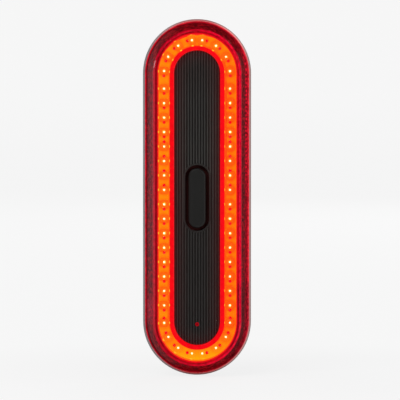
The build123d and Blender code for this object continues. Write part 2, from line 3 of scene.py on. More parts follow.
import bmesh
import bpy
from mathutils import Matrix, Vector


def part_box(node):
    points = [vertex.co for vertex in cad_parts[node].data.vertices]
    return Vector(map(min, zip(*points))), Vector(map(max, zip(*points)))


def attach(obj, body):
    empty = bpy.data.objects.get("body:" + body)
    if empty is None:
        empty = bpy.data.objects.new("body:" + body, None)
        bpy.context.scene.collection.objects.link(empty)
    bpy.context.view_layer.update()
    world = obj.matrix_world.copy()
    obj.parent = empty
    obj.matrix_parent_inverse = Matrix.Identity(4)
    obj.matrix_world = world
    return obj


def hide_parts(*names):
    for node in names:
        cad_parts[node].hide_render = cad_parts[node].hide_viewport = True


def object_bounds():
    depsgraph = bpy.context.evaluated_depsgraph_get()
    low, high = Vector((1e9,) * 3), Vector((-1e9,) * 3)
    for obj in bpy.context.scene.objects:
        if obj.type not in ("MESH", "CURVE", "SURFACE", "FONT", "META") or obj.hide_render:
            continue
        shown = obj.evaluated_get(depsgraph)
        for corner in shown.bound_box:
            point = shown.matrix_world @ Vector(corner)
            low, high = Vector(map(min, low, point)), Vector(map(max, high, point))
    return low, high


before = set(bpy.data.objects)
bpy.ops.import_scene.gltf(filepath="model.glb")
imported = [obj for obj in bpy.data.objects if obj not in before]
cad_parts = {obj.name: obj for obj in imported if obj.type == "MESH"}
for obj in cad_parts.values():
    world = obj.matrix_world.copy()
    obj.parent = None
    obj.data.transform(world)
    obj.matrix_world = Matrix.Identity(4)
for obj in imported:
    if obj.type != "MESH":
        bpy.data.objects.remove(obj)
cad_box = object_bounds()

# Sizes in millimetres. A depth is measured forward from the flat back, and a radius outward from
# the light's spine, the upright line between the centres of its round ends.
MM = 0.001


def extents(node):
    """A node's half width, the depths of its back and its front, and its top."""
    low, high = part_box(node)
    return [round(value / MM, 3) for value in (high.x, -high.y, -low.y, high.z)]


# The outer sizes are the frame's own
FLANGE, FRAME_FRONT, LENS_FRONT, LENS_TOP = extents("front_lens")
PANEL, BOARD_FRONT, CREST = extents("center_panel")[:3]
BOARD_RADIUS = extents("led_board")[0]
PANEL_BACK = extents("button_boot")[2]
BUTTON, _, BUTTON_FRONT = extents("button_cap")[:3]
PIPE_RADIUS, _, _, PIPE_TOP = extents("light_pipe")
END = round(LENS_TOP - FLANGE, 3)

# Lens. The window's two radii follow the photograph, within 0.11 mm of the frame's.
LENS_INNER = PANEL + 0.08
WINDOW_INNER = 7.34
WINDOW_OUTER = 10.52
WINDOW_BACK = LENS_FRONT - 1.2
RING_OUTER = 11.87
RING_BEVEL = 0.55
RING_FOOT = LENS_FRONT - 1.9
WALL_END = BOARD_FRONT + 0.03
FOOT_INNER = BOARD_RADIUS + 0.12
FOOT_FRONT = FRAME_FRONT + 0.95
FOOT_WIDTH = 0.52

# Lights. Their path and lift follow the photograph, within 0.12 mm of the frame's.
LED_RADIUS = 8.87
LED_WIDTH = 2.7
LED_LENGTH = 2.3
LED_HEIGHT = 1.2
LED_ROWS = 16
LED_PITCH = 3.891
LED_LIFT = 0.12
TIP_ANGLES = (9.0, 35.0, 61.0, 87.0)
TURNED_MARKS = range(4, 8)

# Panel and button. The ribs stand a little to the right, as in the photograph.
RIBS = 16
RIB_PITCH = 0.737
RIB_BASE = 0.56
RIB_CREST = 0.30
RIB_HEIGHT = 0.34
RIB_ROUND = 0.05
RIB_ASIDE = 0.18
VALLEY = CREST - RIB_HEIGHT
SKIRT = 1.0
BUTTON_HALF = 5.655
BUTTON_BACK = PANEL_BACK + 0.4
BUTTON_EDGE = 0.62
BUTTON_FALL = 0.02
BUTTON_BRIM = 1.4
BUTTON_DISH = 0.05
WELL = BUTTON + 0.86
WELL_LIP = WELL + 0.45
INDICATOR_RADIUS = 0.55
INDICATOR_HEIGHT = round(PIPE_TOP - PIPE_RADIUS, 3)

# What a ramp from 0 to 1 spans in the materials
RADIUS_SPAN = 16.0
PANEL_SPAN = 7.0
DEPTH_SPAN = 20.0
HEIGHT_SPAN = 100.0
SIDE_SPAN = 30.0


# The round-ended outline that most pieces follow


def outline(half, turns=40, marks=()):
    """Places round the outline: height on the spine, outward direction, and length along the lights' path."""
    run = 2 * half
    arc = pi * LED_RADIUS
    lengths = {0.0, run, run + arc, 2 * run + arc, *marks}
    for step in range(1, turns):
        lengths.add(run + arc * step / turns)
        lengths.add(2 * run + arc + arc * step / turns)
    places = []
    for length in sorted(lengths):
        if length <= run:
            places.append((length - half, 1.0, 0.0, length))
        elif length <= run + arc:
            angle = (length - run) / LED_RADIUS
            places.append((half, cos(angle), sin(angle), length))
        elif length <= 2 * run + arc:
            places.append((half - (length - run - arc), -1.0, 0.0, length))
        else:
            angle = pi + (length - 2 * run - arc) / LED_RADIUS
            places.append((-half, cos(angle), sin(angle), length))
    return places, 2 * (run + arc)


def rounded(points, radii, steps=4, closed=True):
    """A section's points with their corners rounded by the given radii."""
    made = []
    count = len(points)
    for i, (point, radius) in enumerate(zip(points, radii)):
        if radius <= 0 or (not closed and i in (0, count - 1)):
            made.append(tuple(point))
            continue
        corner = Vector(point)
        before = (Vector(points[i - 1]) - corner).normalized()
        after = (Vector(points[(i + 1) % count]) - corner).normalized()
        half_turn = before.angle(after) / 2
        centre = corner + (before + after).normalized() * (radius / sin(half_turn))
        first = corner + before * (radius / tan(half_turn)) - centre
        last = corner + after * (radius / tan(half_turn)) - centre
        start = atan2(first.y, first.x)
        sweep = (atan2(last.y, last.x) - start + pi) % (2 * pi) - pi
        for step in range(steps + 1):
            angle = start + sweep * step / steps
            made.append((centre.x + radius * cos(angle), centre.y + radius * sin(angle)))
    return made


def mesh_piece(name, verts, faces, materials, body="body", smooth=32, uvs=None, picks=None):
    """A mesh in millimetres made into a piece that rides on a body."""
    mesh = bpy.data.meshes.new(name)
    mesh.from_pydata([Vector(v) * MM for v in verts], [], faces)
    if uvs:
        layer = mesh.uv_layers.new(name="path")
        for loop, uv in zip(layer.data, [uv for face in uvs for uv in face]):
            loop.uv = uv
    if picks:
        mesh.polygons.foreach_set("material_index", picks)
    work = bmesh.new()
    work.from_mesh(mesh)
    bmesh.ops.remove_doubles(work, verts=work.verts, dist=1e-7)
    bmesh.ops.recalc_face_normals(work, faces=work.faces)
    work.to_mesh(mesh)
    work.free()
    mesh.shade_smooth()
    mesh.set_sharp_from_angle(angle=radians(smooth))
    for material in materials:
        mesh.materials.append(material)
    piece = bpy.data.objects.new(name, mesh)
    bpy.context.scene.collection.objects.link(piece)
    even = piece.modifiers.new("even_shading", "WEIGHTED_NORMAL")
    even.keep_sharp = True
    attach(piece, body)
    return piece


def swept(name, section, half, materials, closed=True, turns=40, marks=(), pick=None, **more):
    """A piece whose section follows the round-ended outline. Its path map holds lengths along and across."""
    places, total = outline(half, turns, marks)
    run = [0.0]
    for a, b in zip(section, section[1:] + section[:1]):
        run.append(run[-1] + (Vector(b) - Vector(a)).length)
    verts = [(dx * r, -d, z + dz * r) for z, dx, dz, _ in places for r, d in section]
    width = len(section)
    faces = []
    uvs = []
    picks = []
    for i in range(len(places)):
        j = (i + 1) % len(places)
        near = places[i][3]
        far = places[j][3] if j else total
        for k in range(width if closed else width - 1):
            m = (k + 1) % width
            faces.append((i * width + k, i * width + m, j * width + m, j * width + k))
            uvs.append(((near, run[k]), (near, run[k + 1]), (far, run[k + 1]), (far, run[k])))
            middle = [(a + b) / 2 for a, b in zip(section[k], section[m])]
            picks.append(pick(*middle) if pick else 0)
    if not closed:
        for k in (0, width - 1):
            faces.append(tuple(i * width + k for i in range(len(places))))
            uvs.append([(verts[v][0], verts[v][2]) for v in faces[-1]])
            picks.append(0)
    return mesh_piece(name, verts, faces, materials, uvs=uvs, picks=picks, **more)


def circle(radius, sides, up=0.0):
    """Points round a circle whose centre may stand higher."""
    angles = [2 * pi * i / sides for i in range(sides)]
    return [(radius * cos(angle), up + radius * sin(angle)) for angle in angles]


def stacked(levels):
    """A closed block from outlines of as many points each, one above the other: (points, height)."""
    verts = [(x, z, height) for points, height in levels for x, z in points]
    sides = len(levels[0][0])
    faces = [tuple(range(sides)), tuple(range(len(verts) - sides, len(verts)))]
    for start in range(0, len(verts) - sides, sides):
        for i in range(sides):
            j = (i + 1) % sides
            faces.append((start + i, start + j, start + sides + j, start + sides + i))
    return verts, faces


# Material tools

BLACK = (0, 0, 0, 1)
WHITE = (1, 1, 1, 1)
NUMBER = "NodeSocketFloat"
COLOUR = "NodeSocketColor"
VECTOR = "NodeSocketVector"


def tone(red, green, blue):
    """A display colour from 0 to 255 as the light it stands for."""
    made = []
    for value in (red, green, blue):
        share = value / 255
        made.append(share / 12.92 if share <= 0.04045 else ((share + 0.055) / 1.055) ** 2.4)
    return (*made, 1.0)


def fill(tree, node, sockets):
    """Sets a node's sockets, or links them."""
    for name, value in sockets.items():
        if isinstance(value, bpy.types.NodeSocket):
            tree.links.new(value, node.inputs[name])
        else:
            node.inputs[name].default_value = value


def place(tree, kind, sockets=None, **settings):
    """A node with its settings made and its sockets filled."""
    node = tree.nodes.new(kind)
    for name, value in settings.items():
        setattr(node, name, value)
    fill(tree, node, sockets or {})
    return node


def sums(tree, operation, *values):
    """One step of arithmetic."""
    return place(tree, "ShaderNodeMath", dict(enumerate(values)), operation=operation).outputs[0]


def times(tree, product, *values):
    """Numbers multiplied together."""
    for value in values:
        product = sums(tree, "MULTIPLY", product, value)
    return product


def centred(tree, value):
    """A value from 0 to 1 moved to lie round 0."""
    return sums(tree, "SUBTRACT", value, 0.5)


def distance(tree, across, along):
    """The distance that two lengths at right angles make."""
    squares = sums(tree, "ADD", times(tree, across, across), times(tree, along, along))
    return sums(tree, "SQRT", squares)


def from_line(tree, across, up, half):
    """How far a point is from an upright line through the middle, of a given half length."""
    beyond = sums(tree, "MAXIMUM", sums(tree, "SUBTRACT", sums(tree, "ABSOLUTE", up), half), 0.0)
    return distance(tree, across, beyond)


def in_step(tree, length, pitch):
    """How far a length is from the middle of its step, as a share of the pitch."""
    return sums(tree, "ABSOLUTE", centred(tree, sums(tree, "FRACT", sums(tree, "DIVIDE", length, pitch))))


def split(tree, vector):
    """A point's place across, back and up."""
    return place(tree, "ShaderNodeSeparateXYZ", {0: vector}).outputs


def grey(tree, level):
    """A grey of a given level."""
    return place(tree, "ShaderNodeCombineColor", {0: level, 1: level, 2: level}).outputs[0]


def blend(tree, share, first, second, how="MIX"):
    """Two colours mixed."""
    sockets = {0: share, 6: first, 7: second}
    return place(tree, "ShaderNodeMix", sockets, data_type="RGBA", blend_type=how).outputs[2]


def tinted(tree, first, second):
    """One colour multiplied by another."""
    return blend(tree, 1.0, first, second, "MULTIPLY")


def ramp(tree, value, stops, span=1.0):
    """A colour picked by a value from 0 to 1. The stops stand at shares of the span."""
    node = place(tree, "ShaderNodeValToRGB", {0: value})
    elements = node.color_ramp.elements
    while len(elements) < len(stops):
        elements.new(0.5)
    for element, (where, colour) in zip(elements, stops):
        element.position = where / span
        element.color = colour
    return node.outputs[0]


def mask(tree, value, levels, span=1.0):
    """A number picked by a value from 0 to 1. The levels stand at shares of the span."""
    return ramp(tree, value, [(where, (level, level, level, 1)) for where, level in levels], span)


def radial(tree, share, levels):
    """A mask whose levels stand at radii in millimetres."""
    return mask(tree, share, levels, RADIUS_SPAN)


def noise(tree, vector, scale, detail=2.0, rough=0.5):
    """Soft noise from 0 to 1."""
    sockets = {"Vector": vector, "Scale": scale, "Detail": detail, "Roughness": rough}
    return place(tree, "ShaderNodeTexNoise", sockets).outputs[0]


def stretched(tree, vector, scale):
    """A point scaled by different amounts each way."""
    return place(tree, "ShaderNodeMapping", {"Vector": vector, "Scale": scale}).outputs[0]


def bump(tree, strength, relief, height):
    """A surface normal from a height between 0 and 1 whose relief is in millimetres."""
    sockets = {"Strength": strength, "Distance": relief * MM, "Height": height}
    return place(tree, "ShaderNodeBump", sockets).outputs[0]


def object_place(tree, scale=1 / MM):
    """The point on the object, in millimetres unless another scale is given."""
    coords = tree.nodes.new("ShaderNodeTexCoord")
    sockets = {0: coords.outputs["Object"], 3: scale}
    return place(tree, "ShaderNodeVectorMath", sockets, operation="SCALE").outputs[0]


def depth_share(tree):
    """How far forward of the flat back a point is, as a share of the span of depths."""
    return times(tree, split(tree, object_place(tree))[1], -1 / DEPTH_SPAN)


def path_place(tree):
    """The point's place on its mesh's own path map, in millimetres."""
    return place(tree, "ShaderNodeUVMap", uv_map="path").outputs[0]


def group(name, inputs, outputs):
    """An empty node group: its tree, what it is given, and the node that takes what it makes."""
    tree = bpy.data.node_groups.new(name, "ShaderNodeTree")
    for title, kind, value in inputs:
        socket = tree.interface.new_socket(name=title, in_out="INPUT", socket_type=kind)
        socket.default_value = value
    for title, kind in outputs:
        tree.interface.new_socket(name=title, in_out="OUTPUT", socket_type=kind)
    return tree, tree.nodes.new("NodeGroupInput").outputs, tree.nodes.new("NodeGroupOutput")


def use_group(tree, which, sockets=None):
    """A node group placed in a material."""
    return place(tree, "ShaderNodeGroup", sockets, node_tree=which).outputs


def finish(name):
    """A new material with its surface shader."""
    material = bpy.data.materials.new(name)
    material.use_nodes = True
    tree = material.node_tree
    return material, tree, tree.nodes["Principled BSDF"]


# Node groups that several finishes share


def grain_group():
    """Fine moulded grain with slow changes of tone and polish."""
    inputs = [("Colour", COLOUR, (0.05, 0.05, 0.05, 1)), ("Size", NUMBER, 0.25), ("Polish", NUMBER, 0.45)]
    outputs = [("Colour", COLOUR), ("Roughness", NUMBER), ("Height", NUMBER)]
    tree, given, made = group("moulded grain", [*inputs, ("Change", NUMBER, 0.15)], outputs)
    slow_scale = 0.12
    speck_share = 1.6
    polish_share = 0.8
    point = object_place(tree)
    fine = noise(tree, point, sums(tree, "DIVIDE", 1.0, given["Size"]), 3.0, 0.6)
    shift = times(tree, centred(tree, noise(tree, point, slow_scale)), given["Change"])
    speck = times(tree, centred(tree, fine), given["Change"], speck_share)
    level = sums(tree, "ADD", 1.0, sums(tree, "ADD", shift, speck))
    fill(tree, made, {
        "Colour": tinted(tree, given["Colour"], grey(tree, level)),
        "Roughness": sums(tree, "ADD", given["Polish"], times(tree, shift, polish_share)),
        "Height": fine,
    })
    return tree


def spine_group():
    """Distance from the light's spine in millimetres, and how far up and across, from 0 to 1."""
    outputs = [("Radius", NUMBER), ("Height", NUMBER), ("Side", NUMBER)]
    tree, _, made = group("distance from the spine", [], outputs)
    across, _, up = split(tree, object_place(tree))
    fill(tree, made, {
        "Radius": from_line(tree, across, up, END),
        "Height": sums(tree, "ADD", sums(tree, "DIVIDE", up, HEIGHT_SPAN), 0.5),
        "Side": sums(tree, "ADD", sums(tree, "DIVIDE", across, SIDE_SPAN), 0.5),
    })
    return tree


def light_cell_group():
    """The glow round one light, from the point's place along and across the path, in millimetres."""
    inputs = [("Cell", VECTOR, (0, 0, 0)), ("Warmth", NUMBER, 0.0)]
    tree, given, made = group("glow round a light", inputs, [("Glow", COLOUR), ("Spark", NUMBER)])
    glow_span = 2.4
    ripple_reach = 0.9
    spark_out = 1.40
    spark_squash = 0.7
    spark_span = 0.5
    along, across, _ = split(tree, given["Cell"])
    ripple = centred(tree, noise(tree, object_place(tree), 1.1, 3.0, 0.6))
    spread = sums(tree, "ADD", distance(tree, along, across), times(tree, ripple, ripple_reach))
    glow = ramp(tree, sums(tree, "DIVIDE", spread, glow_span), [
        (0.00, tone(255, 225, 110)),
        (0.12, tone(255, 205, 60)),
        (0.17, tone(255, 150, 14)),
        (0.23, tone(252, 100, 4)),
        (0.40, tone(252, 90, 6)),
        (0.56, tone(252, 92, 5)),
        (0.68, tone(254, 112, 2)),
        (0.86, tone(255, 128, 0)),
    ])
    rim = sums(tree, "SUBTRACT", sums(tree, "ABSOLUTE", across), spark_out)
    from_spark = distance(tree, times(tree, along, spark_squash), rim)
    fill(tree, made, {
        "Glow": blend(tree, given["Warmth"], glow, tone(255, 186, 4)),
        "Spark": mask(tree, sums(tree, "DIVIDE", from_spark, spark_span), [(0.3, 1), (0.62, 0)]),
    })
    return tree


def warmth_group():
    """How much yellower the glow is at the ends, and by a given amount down the left."""
    inputs = [("Height", NUMBER, 0.5), ("Side", NUMBER, 0.5), ("Left", NUMBER, 0.1)]
    tree, given, made = group("warmth of the glow", inputs, [("Warmth", NUMBER)])
    ends = mask(tree, given["Height"], [
        (0.060, 1),
        (0.072, 0.75),
        (0.095, 0.32),
        (0.150, 0),
        (0.84, 0),
        (0.90, 0.12),
        (0.926, 0.14),
        (0.937, 0.44),
    ])
    left = times(tree, mask(tree, given["Side"], [(0.2, 1), (0.5, 0.6), (0.8, 0)]), given["Left"])
    fill(tree, made, {"Warmth": sums(tree, "MAXIMUM", ends, left)})
    return tree


def thread_group():
    """Where the broken red line is, beside the inner wall and down the upper right."""
    inputs = [("Share", NUMBER, 0.0), ("Height", NUMBER, 0.5), ("Side", NUMBER, 0.5)]
    tree, given, made = group("broken red line", inputs, [("Line", NUMBER)])
    line = radial(tree, given["Share"], [(7.66, 0), (7.76, 1), (7.92, 1), (8.02, 0)])
    on_right = mask(tree, given["Side"], [(0.70, 0), (0.74, 1)])
    upper = mask(tree, given["Height"], [(0.50, 0), (0.62, 0.85), (0.86, 0.85), (0.89, 0)])
    broken = mask(tree, noise(tree, object_place(tree), 1.1, 3.0, 0.7), [(0.40, 0), (0.50, 1)])
    fill(tree, made, {"Line": times(tree, line, broken, on_right, upper)})
    return tree


def drawn_group():
    """Faint lines along a drawn or plated metal, which change its tone and its roughness."""
    inputs = [("Colour", COLOUR, (0.5, 0.5, 0.5, 1)), ("Polish", NUMBER, 0.3), ("Lines", VECTOR, (1, 1, 1))]
    outputs = [("Colour", COLOUR), ("Roughness", NUMBER), ("Height", NUMBER)]
    tree, given, made = group("drawn lines", inputs, outputs)
    streak = noise(tree, stretched(tree, object_place(tree), given["Lines"]), 2.0, 3.0, 0.6)
    level = mask(tree, streak, [(0.3, 0.8), (0.7, 1.15)])
    fill(tree, made, {
        "Colour": tinted(tree, given["Colour"], level),
        "Roughness": sums(tree, "ADD", given["Polish"], times(tree, centred(tree, streak), 0.2)),
        "Height": streak,
    })
    return tree


def uneven_group():
    """A glow that goes from its edge colour to its middle colour where slow noise is high."""
    inputs = [("Middle", COLOUR, WHITE), ("Edge", COLOUR, WHITE), ("Scale", NUMBER, 2.0)]
    tree, given, made = group("uneven glow", inputs, [("Glow", COLOUR)])
    high = mask(tree, noise(tree, object_place(tree), given["Scale"]), [(0.3, 0), (0.6, 1)])
    fill(tree, made, {"Glow": blend(tree, high, given["Edge"], given["Middle"])})
    return tree


GRAIN = grain_group()
SPINE = spine_group()
CELL = light_cell_group()
WARMTH = warmth_group()
THREAD = thread_group()
DRAWN = drawn_group()
UNEVEN = uneven_group()


def moulded(tree, colour, size, polish, change):
    """The moulded grain placed in a material: its size is in millimetres."""
    return use_group(tree, GRAIN, {"Colour": colour, "Size": size, "Polish": polish, "Change": change})


def spine_places(tree):
    """Where a point is: its radius, also as a share of the span, and how far across and up it is."""
    spine = use_group(tree, SPINE)
    share = sums(tree, "DIVIDE", spine["Radius"], RADIUS_SPAN)
    return {"radius": spine["Radius"], "share": share, "side": spine["Side"], "height": spine["Height"]}


# Plain finishes


def plastic(name, colour, size, polish, change, relief, coat=0.0, shine=0.5):
    """Moulded plastic or rubber."""
    material, tree, surface = finish(name)
    grain = moulded(tree, (*colour, 1), size, polish, change)
    fill(tree, surface, {
        "Base Color": grain["Colour"],
        "Roughness": grain["Roughness"],
        "Normal": bump(tree, relief, size * 0.4, grain["Height"]),
        "Coat Weight": coat,
        "Specular IOR Level": shine,
    })
    return material


def metal(name, colour, polish, lines):
    """Drawn or plated metal with faint lines."""
    material, tree, surface = finish(name)
    drawn = use_group(tree, DRAWN, {"Colour": (*colour, 1), "Polish": polish, "Lines": lines})
    fill(tree, surface, {
        "Base Color": drawn["Colour"],
        "Roughness": drawn["Roughness"],
        "Metallic": 1.0,
        "Normal": bump(tree, 0.08, 0.04, drawn["Height"]),
    })
    return material


def glowing(name, middle, edge, scale, strength, base):
    """A small lit piece, brightest where the noise is high."""
    material, tree, surface = finish(name)
    fill(tree, surface, {
        "Base Color": base,
        "Roughness": 0.3,
        "Emission Color": use_group(tree, UNEVEN, {"Middle": middle, "Edge": edge, "Scale": scale})["Glow"],
        "Emission Strength": strength,
    })
    material.cycles.emission_sampling = "NONE"
    return material


# Housing


def housing_finish():
    """Dark grey of the housing, with painted light on its lip: the lens's red glow, lighter and greyer at the
    sides as a painted highlight, and brighter at the upper end.
    """
    material, tree, surface = finish("housing plastic")
    grain = moulded(tree, (0.16, 0.155, 0.157, 1), 0.16, 0.42, 0.2)
    at = spine_places(tree)
    # Painted red glow of the lens on the housing's lip, fading outward
    spill = ramp(tree, at["share"], [
        (13.9, (0.42, 0.02, 0.025, 1)),
        (14.15, (0.20, 0.015, 0.016, 1)),
        (14.5, (0.05, 0.01, 0.01, 1)),
    ], RADIUS_SPAN)
    # Painted highlight: the lip's glow is lighter and greyer at the left and right
    sides = ramp(tree, at["side"], [
        (0.1, (0.75, 5.6, 5.6, 1)),
        (0.4, WHITE),
        (0.6, WHITE),
        (0.9, (2, 7.5, 6.5, 1)),
    ])
    # Painted light: the lip's glow is brighter at the upper end
    lit_upper_end = ramp(tree, at["height"], [(0.88, WHITE), (0.95, (2.3, 2, 2, 1))])
    lip = mask(tree, depth_share(tree), [(11.3, 0), (11.6, 1)], DEPTH_SPAN)
    fill(tree, surface, {
        "Base Color": grain["Colour"],
        "Roughness": grain["Roughness"],
        "Emission Color": blend(tree, lip, BLACK, tinted(tree, tinted(tree, spill, sides), lit_upper_end)),
        "Emission Strength": 1.0,
        "Normal": bump(tree, 0.6, 0.05, grain["Height"]),
    })
    return material


# Ribbed panel


def rib_tones(tree, at, point):
    """The ribs' black from crest to groove, with painted shade in the grooves, beside the lens and round the
    well, and a painted sheen that makes the upper crests lighter.
    """
    # Painted sheen: the crests are lighter on the upper half of the panel, as lit from above
    crest = ramp(tree, at["height"], [
        (0.44, (0.024, 0.0236, 0.0216, 1)),
        (0.62, (0.037, 0.038, 0.034, 1)),
        (0.76, (0.036, 0.036, 0.033, 1)),
        (0.84, (0.030, 0.0235, 0.0215, 1)),
    ])
    panel_share = sums(tree, "DIVIDE", at["radius"], PANEL_SPAN)
    # Painted shade beside the lens wall
    shade_beside_lens = ramp(tree, panel_share, [(0.60, WHITE), (0.72, (0.75, 0.62, 0.6, 1))])
    by_well = sums(tree, "DIVIDE", from_line(tree, point[0], point[2], BUTTON_HALF), PANEL_SPAN)
    # Painted shade round the button's well
    shade_round_well = ramp(tree, by_well, [
        (0.44, (0.4, 0.34, 0.34, 1)),
        (0.515, (0.66, 0.6, 0.6, 1)),
        (0.55, WHITE),
    ])
    rise = sums(tree, "SUBTRACT", times(tree, point[1], -1.0), VALLEY)
    raised = mask(tree, sums(tree, "DIVIDE", rise, RIB_HEIGHT), [(0.25, 0), (0.85, 1)])
    crest = tinted(tree, tinted(tree, crest, shade_beside_lens), shade_round_well)
    # Painted shade: the grooves take a darker black than the crests
    return blend(tree, raised, (0.0055, 0.0046, 0.0042, 1), crest)


def ribbed_panel():
    """Satin black of the panel, with painted shade in its grooves, and a painted red glow where the lights'
    glow spills on it.
    """
    material, tree, surface = finish("panel plastic")
    at = spine_places(tree)
    grain = moulded(tree, rib_tones(tree, at, split(tree, object_place(tree))), 0.3, 0.42, 0.22)
    # Painted red glow of the lights, stronger towards the lens
    spill = ramp(tree, sums(tree, "DIVIDE", at["radius"], PANEL_SPAN), [
        (0.3, (0.001, 0, 0, 1)),
        (0.62, (0.010, 0.0002, 0.0003, 1)),
        (0.82, (0.022, 0.0004, 0.0006, 1)),
        (0.87, (0.07, 0.0006, 0.001, 1)),
    ])
    speck = mask(tree, noise(tree, object_place(tree), 1.6, 3.0, 0.7), [(0.35, 0.5), (0.7, 1.5)])
    fill(tree, surface, {
        "Base Color": grain["Colour"],
        "Roughness": grain["Roughness"],
        "Specular IOR Level": 0.25,
        "Emission Color": tinted(tree, spill, speck),
        "Emission Strength": 1.0,
        "Normal": bump(tree, 0.1, 0.1, grain["Height"]),
    })
    return material


# Red lens, part by part: each takes the glow so far and gives it back changed

DOT_PITCH = 1.08
DOT_ROW = 13.26
DASH_PITCH = 0.54


def lens_places(tree):
    """Places, patterns and masks that the parts of the lens share."""
    at = spine_places(tree)
    path = path_place(tree)
    facet_sockets = {"Vector": path, "Scale": 1.9, "Randomness": 0.9}
    facets = place(tree, "ShaderNodeTexVoronoi", facet_sockets, feature="F1").outputs
    return {
        **at,
        "along": split(tree, path)[0],
        "facets": facets["Distance"],
        "cells": place(tree, "ShaderNodeSeparateColor", {0: facets["Color"]}).outputs,
        "streak": noise(tree, stretched(tree, path, (0.9, 1.6, 1.0)), 1.0, 3.0, 0.7),
        "ripple": noise(tree, object_place(tree), 0.9),
        "upper": mask(tree, at["height"], [(0.50, 0), (0.60, 1), (0.86, 1), (0.90, 0)]),
        "on_left": mask(tree, at["side"], [(0.10, 1), (0.35, 0)]),
        "on_right": mask(tree, at["side"], [(0.84, 0), (0.90, 1)]),
        "on_slope": radial(tree, at["share"], [(11.92, 0), (12.05, 1), (13.38, 1), (13.48, 0)]),
    }


def lens_tones(tree, at):
    """The tones from the lens's inner wall out to its foot, with painted shade that dims the outer bevel
    towards the left.
    """
    glow = ramp(tree, at["share"], [
        (6.10, tone(246, 6, 18)),
        (7.20, tone(254, 6, 20)),
        (7.60, tone(235, 14, 20)),
        (10.30, tone(235, 14, 20)),
        (10.52, tone(246, 20, 26)),
        (10.74, tone(232, 10, 26)),
        (10.94, tone(184, 2, 20)),
        (11.24, tone(186, 2, 24)),
        (11.40, tone(236, 3, 48)),
        (11.74, tone(226, 3, 44)),
        (11.92, tone(122, 3, 14)),
        (12.08, tone(98, 3, 8)),
        (13.40, tone(94, 3, 8)),
        (13.62, tone(120, 4, 18)),
        (13.78, tone(200, 20, 38)),
        (13.86, tone(232, 30, 46)),
    ], RADIUS_SPAN)
    # Painted shade: the outer bevel's glow is dimmer towards the left
    bevel_shade = ramp(tree, at["side"], [
        (0.08, (0.56, 0.56, 0.56, 1)),
        (0.28, (0.66, 0.60, 0.60, 1)),
        (0.50, (0.74, 0.64, 0.62, 1)),
        (0.70, (1.00, 0.9, 0.9, 1)),
        (0.92, (1.06, 1, 1, 1)),
    ])
    on_bevel = radial(tree, at["share"], [(10.9, 0), (10.98, 1), (11.85, 1), (11.95, 0)])
    return blend(tree, on_bevel, glow, tinted(tree, glow, bevel_shade))


def dark_line(tree, at, glow):
    """The dark line outside the window, on the left."""
    line = radial(tree, at["share"], [(10.56, 0), (10.72, 1), (11.02, 1), (11.16, 0)])
    towards_left = mask(tree, at["side"], [(0.14, 0.55), (0.34, 0)])
    return blend(tree, times(tree, line, towards_left), glow, tone(60, 2, 14))


def channel_walls(tree, at, glow):
    """The channel's walls, orange towards the board."""
    depth = depth_share(tree)
    low_wall = mask(tree, depth, [(15.2, 1), (15.8, 0)], DEPTH_SPAN)
    in_channel = radial(tree, at["share"], [(7.28, 0), (7.33, 1), (10.53, 1), (10.58, 0)])
    wall = ramp(tree, depth, [
        (12.3, tone(255, 128, 6)),
        (13.6, tone(254, 96, 8)),
        (15.4, tone(249, 48, 14)),
    ], DEPTH_SPAN)
    return blend(tree, times(tree, low_wall, in_channel), glow, wall)


def shoulder_prisms(tree, at, glow):
    """The shoulder's prisms, with a row of bright points down the upper right."""
    bright = times(tree, sums(tree, "POWER", at["cells"][0], 2.0), 1.75)
    mottled = tinted(tree, glow, grey(tree, sums(tree, "ADD", 0.40, bright)))
    from_dot = distance(
        tree,
        times(tree, in_step(tree, at["along"], DOT_PITCH), DOT_PITCH),
        sums(tree, "SUBTRACT", at["radius"], DOT_ROW),
    )
    dot = mask(tree, from_dot, [(0.14, 1), (0.36, 0)])
    dotted = times(tree, dot, 0.8, at["upper"], at["on_right"])
    return blend(tree, at["on_slope"], glow, blend(tree, dotted, mottled, tone(226, 6, 40)))


def foot_dashes(tree, at, glow):
    """The dark line at the shoulder's foot on the left, broken into dashes above the middle."""
    at_foot = radial(tree, at["share"], [(13.30, 0), (13.38, 1), (13.58, 1), (13.66, 0)])
    dash = mask(tree, in_step(tree, at["along"], DASH_PITCH), [(0.16, 0), (0.26, 1)])
    broken = blend(tree, at["upper"], (0.75, 0.75, 0.75, 1), dash)
    dark = times(tree, at_foot, broken, at["on_left"], 0.85)
    return blend(tree, dark, glow, tone(40, 2, 6))


def left_slope(tree, at, glow):
    """A painted grey reflection on the left of the shoulder, and a crimson patch low on it."""
    # Painted reflection: a cool grey veil of light added on the left of the shoulder
    painted_veil = radial(tree, at["share"], [(11.90, 0), (12.04, 0.4), (13.00, 1), (13.34, 1), (13.46, 0)])
    glow = blend(tree, times(tree, painted_veil, at["on_left"]), glow, (0.005, 0.022, 0.024, 1), "ADD")
    low = mask(tree, at["height"], [(0.155, 0), (0.18, 1), (0.22, 1), (0.24, 0)])
    patch = times(tree, low, at["on_left"], at["on_slope"])
    return blend(tree, patch, glow, (0.11, 0, 0.010, 1), "ADD")


def lower_right(tree, at, glow):
    """The darker lower right of the bevel and shoulder."""
    on_right = mask(tree, at["side"], [(0.74, 0), (0.82, 1)])
    lower = mask(tree, at["height"], [(0.255, 1), (0.285, 0)])
    shade = ramp(tree, at["share"], [
        (10.70, WHITE),
        (10.80, (0.44, 0.7, 1.0, 1)),
        (11.25, (0.44, 0.7, 1.0, 1)),
        (11.36, (0.94, 1, 1, 1)),
        (11.80, (0.90, 1, 1, 1)),
        (11.95, (0.48, 1, 1, 1)),
        (13.50, (0.60, 1, 1, 1)),
    ], RADIUS_SPAN)
    return blend(tree, times(tree, on_right, lower), glow, tinted(tree, glow, shade))


